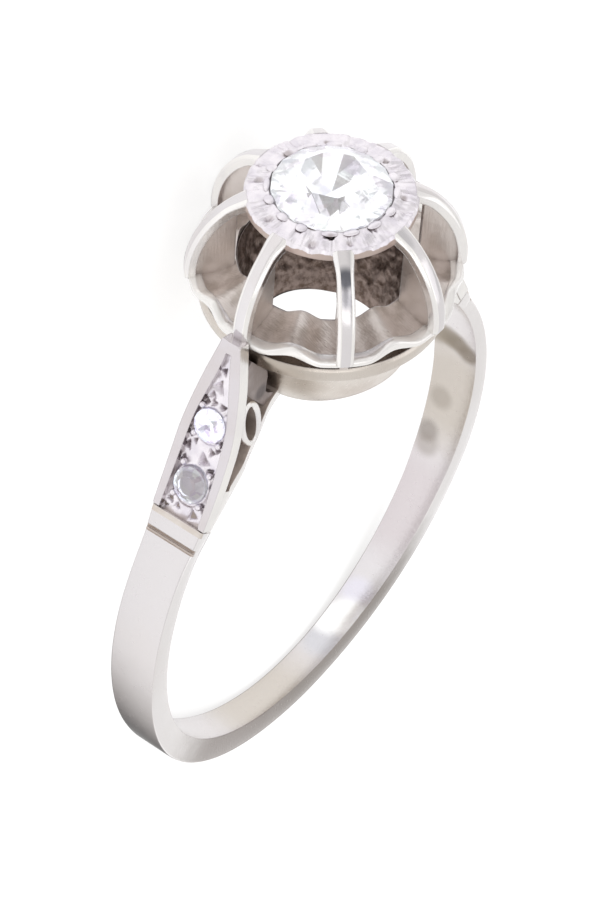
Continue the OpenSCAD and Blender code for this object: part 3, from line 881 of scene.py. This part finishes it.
def add_beads(bm, seats):
    """Four beads round each small stone."""
    for height, radius in seats:
        out = radius + BEAD_OUT
        for angle in (math.radians(turn) for turn in (45, 135, 225, 315)):
            middle = on_panel(out * math.cos(angle), height + out * math.sin(angle), BEAD_DEPTH)
            bmesh.ops.create_uvsphere(bm, u_segments=14, v_segments=9, radius=BEAD_RADIUS,
                                      matrix=Matrix.Translation(middle))


class RING_OT_panels(bpy.types.Operator):
    """Models each shoulder's sunk panel, with graver cuts, stone seats and beads"""
    bl_idname = "ring.panels"
    bl_label = "Panels"

    def execute(self, context):
        sizes = context.scene.ring_sizes
        seats = [(UPPER_STONE_HEIGHT, mm(sizes.upper_stone) / 2),
                 (LOWER_STONE_HEIGHT, mm(sizes.lower_stone) / 2)]
        bm = bmesh.new()
        bmesh.ops.create_grid(bm, x_segments=round(2 * SHEET_HALF / PANEL_CELL),
                              y_segments=round((SHEET_HIGH - SHEET_LOW) / PANEL_CELL), size=1)

        def in_a_seat(point):
            spot = Vector((point.x * SHEET_HALF, sheet_height(point)))
            return any((spot - Vector((0, seat))).length < radius * SEAT_OPEN
                       for seat, radius in seats)

        holes = [face for face in bm.faces if in_a_seat(face.calc_center_median())]
        bmesh.ops.delete(bm, geom=holes, context="FACES")
        for vert in bm.verts:
            cut_panel(vert, seats, mm(sizes.panel_depth))
        slab(bm, lambda point: point - outward(point) * PANEL_THICK)
        add_beads(bm, seats)
        both_sides(bm)
        keep_piece(context, bm, "shoulder_panels", "cut", crease=40)
        return {"FINISHED"}


# The bar under a shoulder: angles down from the head where it starts and ends, where it starts to
# fill the space up to the shoulder's top line, and how far under that line it stays
UNDER_START, UNDER_STOP, FILL_START, FILL_GAP = 15, 52, 41.2, 0.3
UNDER_STEPS = 48
# The upright loop: its middle, half height, lean, hole, wall, half length along the finger,
# rounding, and the steps it is spun in
LOOP_MIDDLE = Vector((0, 4.6, 8.54))
LOOP_HALF, LOOP_LEAN = 0.6, math.radians(-11)
LOOP_HOLE, LOOP_WALL = 0.26, 0.24
LOOP_SIDE, LOOP_ROUNDING, LOOP_STEPS = 0.84, 0.05, 40
# The strut: where it starts in [y, z], its direction, length, width, and half length along the
# finger
STRUT_START, STRUT_TURN = Vector((3.3, 8.0)), math.radians(51)
STRUT_LENGTH, STRUT_WIDTH, STRUT_HALF = 2.7, 0.35, 0.42


def under_bar(bm, inner, bar):
    """The bar that follows the finger hole under the +Y shoulder."""
    section = [(x, 0, r) for x, r in ((-1, inner), (1, inner), (1, inner + bar), (-1, inner + bar))]
    swept(bm, section, (1, 0, 0), ORIGIN, -math.radians(UNDER_START),
          -math.radians(UNDER_STOP - UNDER_START), UNDER_STEPS)
    for vert in bm.verts:
        angle = math.atan2(vert.co.y, vert.co.z)
        if vert.co.yz.length > inner + bar / 2:
            fill = ease((math.degrees(angle) - FILL_START) / 0.9)
            radius = inner + bar + fill * (panel_line_radius(angle) - FILL_GAP - inner - bar)
            vert.co.y, vert.co.z = math.sin(angle) * radius, math.cos(angle) * radius
        vert.co.x = math.copysign(min(table(UNDER_HALF_WIDTHS, vert.co.y),
                                      table(BAND_HALF_WIDTHS, vert.co.z)) - 0.015, vert.co.x)
    soften(bm, 0.05, runs_round, sharper_than=50)


def upright_loop(bm):
    """The long loop between the +Y shoulder's two bars."""
    known = set(bm.verts)
    side, low, high, cut = LOOP_SIDE, LOOP_HOLE, LOOP_HOLE + LOOP_WALL, LOOP_ROUNDING
    profile = [(-side, low + cut), (-side, high - cut), (-side + cut, high), (side - cut, high),
               (side, high - cut), (side, low + cut), (side - cut, low), (-side + cut, low)]
    verts, edges = closed_line(bm, [(x, 0, r) for x, r in profile])
    bmesh.ops.rotate(bm, verts=verts, cent=ORIGIN,
                     matrix=Matrix.Rotation(math.pi / LOOP_STEPS, 3, "X"))
    bmesh.ops.spin(bm, geom=verts + edges, cent=ORIGIN, axis=(1, 0, 0), dvec=ORIGIN,
                   angle=math.tau, steps=LOOP_STEPS, use_merge=True)
    loop = [vert for vert in bm.verts if vert not in known]
    for vert in loop:
        way = Vector((0, vert.co.y, vert.co.z)).normalized()
        wall = vert.co.yz.length - LOOP_HOLE
        vert.co.y, vert.co.z = way.y * (LOOP_HOLE + wall), way.z * (LOOP_HOLE + LOOP_HALF + wall)
    bmesh.ops.rotate(bm, verts=loop, cent=ORIGIN, matrix=Matrix.Rotation(LOOP_LEAN, 3, "X"))
    bmesh.ops.translate(bm, vec=LOOP_MIDDLE, verts=loop)


class RING_OT_side_gallery(bpy.types.Operator):
    """Models the bars, loops and struts that carry the shoulders' sides"""
    bl_idname = "ring.side_gallery"
    bl_label = "Side gallery"

    def execute(self, context):
        sizes = context.scene.ring_sizes
        inner = mm(sizes.finger_radius)
        bm = bmesh.new()
        under_bar(bm, inner, mm(sizes.under_bar))
        upright_loop(bm)
        # Flat sides keep the painted light, other faces get painted shade, faces by the finger hole
        # the band's inside
        mark(bm, SECOND, lambda face, middle: abs(face.normal.x) < 0.5)
        mark(bm, THIRD, lambda face, middle: middle.yz.length < inner + 0.03)
        both_sides(bm)
        keep_piece(context, bm, "side_gallery", "lit side", "hollow", "inside")

        bm = bmesh.new()
        made = bmesh.ops.create_grid(bm, x_segments=12, y_segments=1, size=0.5)["verts"]
        for vert in made:
            along, across = (vert.co.x + 0.5) * STRUT_LENGTH, vert.co.y + 0.5
            wider = 0.5 * ease(1 - along / 0.8) + 1.9 * ease((along - 0.5) / 0.9)
            across *= STRUT_WIDTH * (1 + wider)
            y = STRUT_START.x + along * math.cos(STRUT_TURN) - across * math.sin(STRUT_TURN)
            z = STRUT_START.y + along * math.sin(STRUT_TURN) + across * math.cos(STRUT_TURN)
            vert.co = (-STRUT_HALF, y, z)
        faces = list({face for vert in made for face in vert.link_faces})
        extruded = bmesh.ops.extrude_face_region(bm, geom=faces)["geom"]
        bmesh.ops.translate(bm, vec=(2 * STRUT_HALF, 0, 0), verts=verts_in(extruded))
        both_sides(bm)
        keep_piece(context, bm, "struts", "strut")
        return {"FINISHED"}


# Head

# The rim's section from its outer top corner, the depth of its middle, how far it dips in between
# the ribs, and the share of the wave that its lower edge follows
RIM_SECTION = [(-0.46, -0.22), (-0.07, -0.22), (-0.02, -0.2), (0, -0.15), (0, -0.07),
               (-0.03, -0.02), (-0.09, 0), (-0.37, 0), (-0.43, -0.02), (-0.46, -0.08)]
RIM_MIDDLE, RIM_DIP, RIM_LOW_SHARE = 0.14, 0.14, 0.55
# The fluted floor: where its hole's edge is, thickness, rise between the ribs, and sag
FLOOR_HOLE, FLOOR_HEIGHT, FLOOR_THICK, FLOOR_RISE, FLOOR_SAG = 2.82, 11.92, 0.3, 0.26, 0.06
# The hole's wall: its inner line, its back, and how rough it is as a share of its radius
WALL_LINE = [(2.1, 8.3), (2.5, 10.8), (2.78, 11.9)]
WALL_BACK = [(2.9, 11.78), (2.88, 11.0), (2.62, 8.3)]
WALL_ROUGH = 0.035
LOBE_STEPS, WALL_STEPS = 24, 220


class RING_OT_gallery(bpy.types.Operator):
    """Models the head's wavy rim, its fluted floor and the rough wall of its hole"""
    bl_idname = "ring.gallery"
    bl_label = "Gallery"

    def execute(self, context):
        sizes = context.scene.ring_sizes
        outer, top, wave = mm(sizes.rim_radius), mm(sizes.rim_height), mm(sizes.rim_wave)
        bm = bmesh.new()
        lathe(bm, [(outer + r, top + z) for r, z in RIM_SECTION], LOBE_STEPS * sizes.ribs)
        for vert in bm.verts:
            place = lobe_rise(vert, sizes.ribs)
            vert.co.z += wave * place * (1 if vert.co.z > top - RIM_MIDDLE else RIM_LOW_SHARE)
            radius = vert.co.xy.length
            if radius > outer - 0.2:
                vert.co.xy *= 1 - RIM_DIP * place / radius
        # The rim's top gets the paler painted light
        mark(bm, SECOND, lambda face, middle: face.normal.z > 0.6)
        keep_piece(context, bm, "gallery_rim", "rim", "rim top", crease=24)

        bm = bmesh.new()
        reach = outer - 0.41 - FLOOR_HOLE
        line = divided([(FLOOR_HOLE, FLOOR_HEIGHT), (outer - 0.41, top - 0.04)], 0.15)
        lathe(bm, line + [(r, z - FLOOR_THICK) for r, z in reversed(line)], LOBE_STEPS * sizes.ribs)
        for vert in bm.verts:
            out = (vert.co.xy.length - FLOOR_HOLE) / reach
            sag = FLOOR_SAG * math.sin(math.pi * min(max(out, 0), 1))
            vert.co.z += FLOOR_RISE * lobe_rise(vert, sizes.ribs) - sag
        keep_piece(context, bm, "gallery_floor", "floor", crease=24)

        finger = mm(sizes.finger_radius)
        bm = bmesh.new()
        lathe(bm, divided(WALL_LINE, 0.09) + WALL_BACK, WALL_STEPS)
        for vert in bm.verts:
            if vert.co.z < 8.9:
                vert.co.z = max(vert.co.z, math.sqrt(finger ** 2 - vert.co.y ** 2))
            if vert.co.xy.length < 2.8:
                inside = ease((vert.co.z - 8.5) / 0.6) * ease((11.9 - vert.co.z) / 0.4)
                vert.co.xy *= 1 + WALL_ROUGH * inside * noise.fractal(vert.co * 3.2, 0.6, 2.0, 4)
        keep_piece(context, bm, "hole_wall", "cast", crease=60, even=False)
        return {"FINISHED"}


# The collar's section as [distance out, height]
COLLAR_SECTION = [(2.45, 8.2), (2.75, 8.2), (2.95, 8.7), (3.62, 10.3), (3.84, 10.31), (3.93, 10.34),
                  (3.97, 10.42), (3.98, 10.72), (3.96, 10.8), (3.9, 10.86), (3.5, 10.88),
                  (3.5, 11.42), (3.02, 11.7), (2.9, 11.6), (2.75, 11.0)]
COLLAR_STEPS = 160
# Above this height the collar is the shaded neck under the rim
NECK_HEIGHT = 10.87
# The collar's walls: the height they're measured at, then each one's radius there and its slope
CONE_HEIGHT, CONE_OUTER, CONE_INNER = 7.9, (2.62, 0.417), (2.3, 0.162)


class RING_OT_collar(bpy.types.Operator):
    """Models the tapered collar between the finger hole and the gallery"""
    bl_idname = "ring.collar"
    bl_label = "Collar"

    def execute(self, context):
        finger = mm(context.scene.ring_sizes.finger_radius)
        bm = bmesh.new()
        lathe(bm, COLLAR_SECTION, COLLAR_STEPS)
        for vert in bm.verts:
            if vert.co.z < 8.25:
                radius_there, slope = CONE_OUTER if vert.co.xy.length > 2.6 else CONE_INNER
                direction = vert.co.xy.normalized()
                height = 8.3
                for _ in range(4):
                    radius = radius_there + slope * (height - CONE_HEIGHT)
                    height = math.sqrt(finger ** 2 - (radius * direction.y) ** 2)
                vert.co = Vector((*(direction * radius), height))
        soften(bm, 0.05, lambda edge: all(vert.co.z < 8.6 for vert in edge.verts), sharper_than=50)
        # The neck under the rim gets the painted shade
        mark(bm, SECOND, lambda face, middle: middle.z > NECK_HEIGHT and middle.xy.length > 3)
        keep_piece(context, bm, "head_collar", "collar", "hollow")
        return {"FINISHED"}


# A rib is an arc round this point, drawn toward +X
RIB_CENTRE = Vector((1, 0, 11.7))
RIB_RADIUS, RIB_THICKNESS, RIB_HALF = 3.46, 0.34, 0.27
RIB_FOOT, RIB_END, RIB_STEPS = math.radians(-3.5), math.radians(62), 48
# Near its upper end a rib is wider and lower: where that starts and how far it takes, in degrees
RIB_SPREAD_START, RIB_SPREAD, RIB_WIDER, RIB_LOWER = 47, 15, 0.25, 0.07
# A fin: where its inner edge is, its lower edge's height, its height and half its thickness
FIN_INNER, FIN_LOW, FIN_HEIGHT, FIN_HALF = 2.9, 11.2, 3.2, 0.13


class RING_OT_ribs(bpy.types.Operator):
    """Models the arched ribs and the thin fins behind them"""
    bl_idname = "ring.ribs"
    bl_label = "Ribs"

    def execute(self, context):
        count = context.scene.ring_sizes.ribs
        bm = bmesh.new()
        half, inside, outside = RIB_HALF, RIB_RADIUS - RIB_THICKNESS, RIB_RADIUS
        section = [(-half, inside), (half, inside), (half, outside - 0.1),
                   (half - 0.07, outside - 0.02), (half - 0.12, outside), (-half + 0.12, outside),
                   (-half + 0.07, outside - 0.02), (-half, outside - 0.1)]
        swept(bm, [(RIB_CENTRE.x + r, y, RIB_CENTRE.z) for y, r in section], (0, -1, 0), RIB_CENTRE,
              RIB_FOOT, RIB_END - RIB_FOOT, RIB_STEPS)
        for vert in bm.verts:
            arm = vert.co - RIB_CENTRE
            angle = math.degrees(math.atan2(arm.z, arm.x))
            near_end = ease((angle - RIB_SPREAD_START) / RIB_SPREAD)
            vert.co.y *= 1 + RIB_WIDER * near_end
            vert.co.z -= RIB_LOWER * near_end
        # A rib's sides get the lit sides' painted light
        mark(bm, SECOND, lambda face, middle: abs(face.normal.y) > 0.3)
        copies_round_head(bm, count)
        keep_piece(context, bm, "ribs", "rib", "lit side", crease=28)

        bm = bmesh.new()
        bmesh.ops.create_grid(bm, x_segments=10, y_segments=24, size=0.5)
        reach = RIB_RADIUS - RIB_THICKNESS / 2
        for vert in bm.verts:
            height = FIN_LOW + FIN_HEIGHT * (vert.co.y + 0.5)
            rib = RIB_CENTRE.x + math.sqrt(reach ** 2 - (height - RIB_CENTRE.z) ** 2)
            out = FIN_INNER + (rib - FIN_INNER) * (vert.co.x + 0.5)
            vert.co = (out, FIN_HALF, height)
        slab(bm, lambda point: Vector((point.x, -FIN_HALF, point.z)))
        copies_round_head(bm, count)
        keep_piece(context, bm, "fins", "satin")
        return {"FINISHED"}


# Height of the lower end of the main stone's seat
SEAT_FOOT = 13.5
PLATE_STEPS, GRAINS = 384, 16
# A grain: its radius, how it's stretched outward, sideways and up, distance out and height
GRAIN_RADIUS, GRAIN_OUTWARD, GRAIN_SIDEWAYS, GRAIN_UPWARD = 0.14, 1.15, 1.6, 0.36
GRAIN_OUT, GRAIN_HEIGHT = 0.1, 0.09
# The plate's engraving: depths of its strokes, of the notches between grains, and of its unevenness
STROKE_DEPTH, NOTCH_DEPTH, UNEVEN = 0.07, 0.05, 0.06
STROKES_ROUND = 26


def engrave(vert, edge, stone, ribs):
    """Cuts the strokes, notches and pits at one point of the plate's top."""
    angle = math.atan2(vert.co.y, vert.co.x)
    out = (vert.co.xy.length - stone) / (edge - stone)
    around = Vector((math.cos(angle), math.sin(angle), 0))
    strokes = abs(noise.noise(around * STROKES_ROUND + Vector((0, 0, out * 0.7))))
    from_grain = abs(angle * GRAINS / math.tau - round(angle * GRAINS / math.tau))
    notch = max(1 - from_grain * 5, 0) * ease(out * 1.6)
    away_from_rib = ease(lobe_place(vert, ribs) * 2.5)
    vert.co.z -= (STROKE_DEPTH * strokes * ease(out * 3) + NOTCH_DEPTH * notch) * away_from_rib
    vert.co.z += UNEVEN * noise.noise(vert.co * 4) * away_from_rib
    for pit, reach, deep in PLATE_PITS:
        vert.co.z -= deep * ease(1 - (vert.co.xy - Vector(pit)).length / reach)


class RING_OT_plate(bpy.types.Operator):
    """Models the engraved illusion plate and the grains that hold the main stone"""
    bl_idname = "ring.plate"
    bl_label = "Plate"

    def execute(self, context):
        sizes = context.scene.ring_sizes
        edge, top, stone = mm(sizes.plate_radius), mm(sizes.plate_height), mm(sizes.stone_radius)
        bm = bmesh.new()
        engraved = divided([(edge, top - 0.12), (edge - 0.08, top - 0.01),
                            (stone + 0.04, top + 0.1)], 0.07)
        rest = [(stone + 0.04, top - 0.06), (stone - 0.5, top - 0.6), (stone - 0.5, SEAT_FOOT),
                (stone - 0.2, SEAT_FOOT), (stone + 0.2, top - 0.42), (edge - 0.06, top - 0.42),
                (edge, top - 0.36)]
        lathe(bm, engraved + rest, PLATE_STEPS)
        for vert in bm.verts:
            if vert.co.z >= top - 0.14 and vert.co.xy.length >= stone + 0.03:
                engrave(vert, edge, stone, sizes.ribs)
        # The plate's underside and outer edge get the painted shade
        mark(bm, SECOND, lambda face, middle: middle.z < top - 0.2
             and middle.xy.length > stone + 0.3)
        keep_piece(context, bm, "illusion_plate", "plate", "plate side", crease=18, even=False)

        bm = bmesh.new()
        for i in range(GRAINS):
            angle = math.tau * (i + 0.5 + 0.25 * noise.noise(Vector((i * 2.3, 0.7, 0)))) / GRAINS
            size = 1 + 0.8 * noise.noise(Vector((i * 1.7, 0.4, 0)))
            made = bmesh.ops.create_uvsphere(bm, u_segments=16, v_segments=10,
                                             radius=GRAIN_RADIUS)["verts"]
            bmesh.ops.scale(bm, vec=(GRAIN_OUTWARD * size, GRAIN_SIDEWAYS / size, GRAIN_UPWARD),
                            verts=made)
            bmesh.ops.translate(bm, vec=(stone + GRAIN_OUT, 0, top + GRAIN_HEIGHT), verts=made)
            bmesh.ops.rotate(bm, verts=made, cent=ORIGIN, matrix=Matrix.Rotation(angle, 3, "Z"))
        keep_piece(context, bm, "stone_grains", "plate", even=False)
        return {"FINISHED"}


# Of each stone's pattern of painted reflections: cells per metre, and the strength of its painted
# glow
LARGE_CELLS, LARGE_GLOW = 1900, 0.12
SMALL_CELLS, SMALL_GLOW = 2400, 0.25


class RING_OT_stones(bpy.types.Operator):
    """Gives the cut stones their clear finish"""
    bl_idname = "ring.stones"
    bl_label = "Stones"

    def execute(self, context):
        colours = context.scene.ring_colours
        large = stone_finish("clear brilliant", colours.stone, colours.stone_shade,
                             LARGE_CELLS, LARGE_GLOW)
        small = stone_finish("small clear brilliant", colours.small_stone, colours.small_shade,
                             SMALL_CELLS, SMALL_GLOW)
        names = [name for name in frame["nodes"] if name != METAL_NODE]
        if not names:
            raise RuntimeError("the packed ring has no stones")
        for name in names:
            for slot in frame["nodes"][name].material_slots:
                slot.material = large if name == MAIN_STONE else small
        return {"FINISHED"}


# Stage

# Camera in the ring's frame, in millimetres: where it stands, and its own right and up
CAMERA_PLACE = (44.035, -64.993, 87.814)
CAMERA_RIGHT = (0.7910, 0.6096, 0.0522)
CAMERA_UP = (-0.4768, 0.5607, 0.6770)
CAMERA_LENS, CAMERA_HEIGHT = 140.0, 36.0
CAMERA_NEAR, CAMERA_FAR = 0.01, 5
# Darker places of the studio that polished metal shows: turn round the ring, height, reach
# and how dark, the angles in degrees
STUDIO_SHADES = [(-125, 47, 16, 0.85), (-100, 75, 18, 0.3), (150, 30, 25, 0.25), (70, 50, 22, 0.3)]
STUDIO_WHITE, STUDIO_DARK, STUDIO_STRENGTH = (1, 0.995, 0.985, 1), (0.05, 0.05, 0.06, 1), 0.95
# Soft lamps: name, place and size in metres, power and colour
LAMPS = [("Key", (-0.2, -0.45, 0.6), 0.6, 0.8, (1, 0.995, 0.985)),
         ("Fill", (0.1, 0.35, 0.75), 0.6, 0.6, (0.98, 0.985, 1))]
# The floor: half its side in metres, and how much it's lit from within
TABLE_HALF, TABLE_GLOW = 0.6, 0.72


def studio_surroundings(tree):
    """A white studio with a few soft grey places for the metal to reflect."""
    direction = put(tree, "TexCoord", (-1400, 0)).outputs["Generated"]
    colour = STUDIO_WHITE
    for i, (turn, height, reach, dark) in enumerate(STUDIO_SHADES):
        turn, height = math.radians(turn), math.radians(height)
        middle = (math.cos(height) * math.cos(turn), math.cos(height) * math.sin(turn),
                  math.sin(height))
        towards = put(tree, "VectorMath", (-1100, -200 * i), direction, middle,
                      operation="DOT_PRODUCT").outputs["Value"]
        share = between(tree, (-900, -200 * i), towards, math.cos(math.radians(reach)),
                        math.cos(math.radians(reach * 0.4)), top=dark)
        colour = blend(tree, (-650 + 150 * i, 100), share, colour, STUDIO_DARK)
    plug(tree, tree.nodes["Background"], Color=colour, Strength=STUDIO_STRENGTH)


def soft_light(context, name, place, size, power, colour):
    """A square lamp that faces the ring."""
    lamp = bpy.data.lights.new(name, "AREA")
    lamp.size, lamp.energy, lamp.color = size, power, colour
    holder = bpy.data.objects.new(name, lamp)
    holder.location = place
    holder.rotation_euler = (-Vector(place)).to_track_quat("-Z", "Y").to_euler()
    context.scene.collection.objects.link(holder)


def pale_table(colour):
    """The floor's material, nearly even and lit a little from within."""
    material, tree, shader = new_material("pale table")
    cloud = clouds(tree, (-600, 0), put(tree, "TexCoord", (-800, 0)).outputs["Object"], 6, 2)
    tone = blend(tree, (-300, 0), cloud, opaque(colour), opaque(colour * 1.03))
    plug(tree, shader, Base_Color=tone, Roughness=0.8, Emission_Color=(1, 1, 1, 1),
         Emission_Strength=TABLE_GLOW)
    return material


class RING_OT_stage(bpy.types.Operator):
    """Sets the pale floor, the soft light and the camera"""
    bl_idname = "ring.stage"
    bl_label = "Stage"

    def execute(self, context):
        scene = context.scene
        bm = bmesh.new()
        bmesh.ops.create_grid(bm, x_segments=2, y_segments=2, size=TABLE_HALF)
        mesh = bpy.data.meshes.new("table_top")
        bm.to_mesh(mesh)
        bm.free()
        mesh.materials.append(pale_table(scene.ring_colours.table))
        floor = bpy.data.objects.new("table_top", mesh)
        scene.collection.objects.link(floor)

        world = bpy.data.worlds.new("Studio")
        world.use_nodes = True
        studio_surroundings(world.node_tree)
        scene.world = world
        for lamp in LAMPS:
            soft_light(context, *lamp)

        camera = bpy.data.cameras.new("Camera")
        camera.sensor_fit = "VERTICAL"
        camera.lens, camera.sensor_height = CAMERA_LENS, CAMERA_HEIGHT
        camera.clip_start, camera.clip_end = CAMERA_NEAR, CAMERA_FAR
        holder = bpy.data.objects.new("Camera", camera)
        right, up = Vector(CAMERA_RIGHT), Vector(CAMERA_UP)
        turn = LAY_DOWN.to_3x3() @ Matrix((right, up, right.cross(up))).transposed()
        holder.matrix_world = (Matrix.Translation(LAY_DOWN @ Vector(CAMERA_PLACE))
                               @ turn.normalized().to_4x4())
        scene.collection.objects.link(holder)
        scene.camera = holder
        scene.view_settings.view_transform = "Standard"
        return {"FINISHED"}


# Panel and running

class RING_PT_panel(bpy.types.Panel):
    """Lists the ring's pieces, sizes and colours"""
    bl_label = "Solitaire Ring"
    bl_idname = "RING_PT_panel"
    bl_space_type = "VIEW_3D"
    bl_region_type = "UI"
    bl_category = "Ring"

    def draw(self, context):
        layout = self.layout
        for operator in OPERATORS:
            layout.operator(operator.bl_idname)
        for group in (context.scene.ring_sizes, context.scene.ring_colours):
            column = layout.column()
            for name in group.__annotations__:
                column.prop(group, name)


OPERATORS = (RING_OT_band, RING_OT_shoulder_rails, RING_OT_panels, RING_OT_side_gallery,
             RING_OT_gallery, RING_OT_collar, RING_OT_ribs, RING_OT_plate, RING_OT_stones,
             RING_OT_stage)
CLASSES = (RingSizes, RingColours, *OPERATORS, RING_PT_panel)


def register():
    for one in CLASSES:
        bpy.utils.register_class(one)
    bpy.types.Scene.ring_sizes = PointerProperty(type=RingSizes)
    bpy.types.Scene.ring_colours = PointerProperty(type=RingColours)


def unregister():
    del bpy.types.Scene.ring_colours
    del bpy.types.Scene.ring_sizes
    for one in reversed(CLASSES):
        bpy.utils.unregister_class(one)


def main():
    register()
    bpy.ops.ring.band()
    bpy.ops.ring.shoulder_rails()
    bpy.ops.ring.panels()
    bpy.ops.ring.side_gallery()
    bpy.ops.ring.gallery()
    bpy.ops.ring.collar()
    bpy.ops.ring.ribs()
    bpy.ops.ring.plate()
    bpy.ops.ring.stones()
    bpy.ops.ring.stage()


if __name__ == "__main__":
    main()
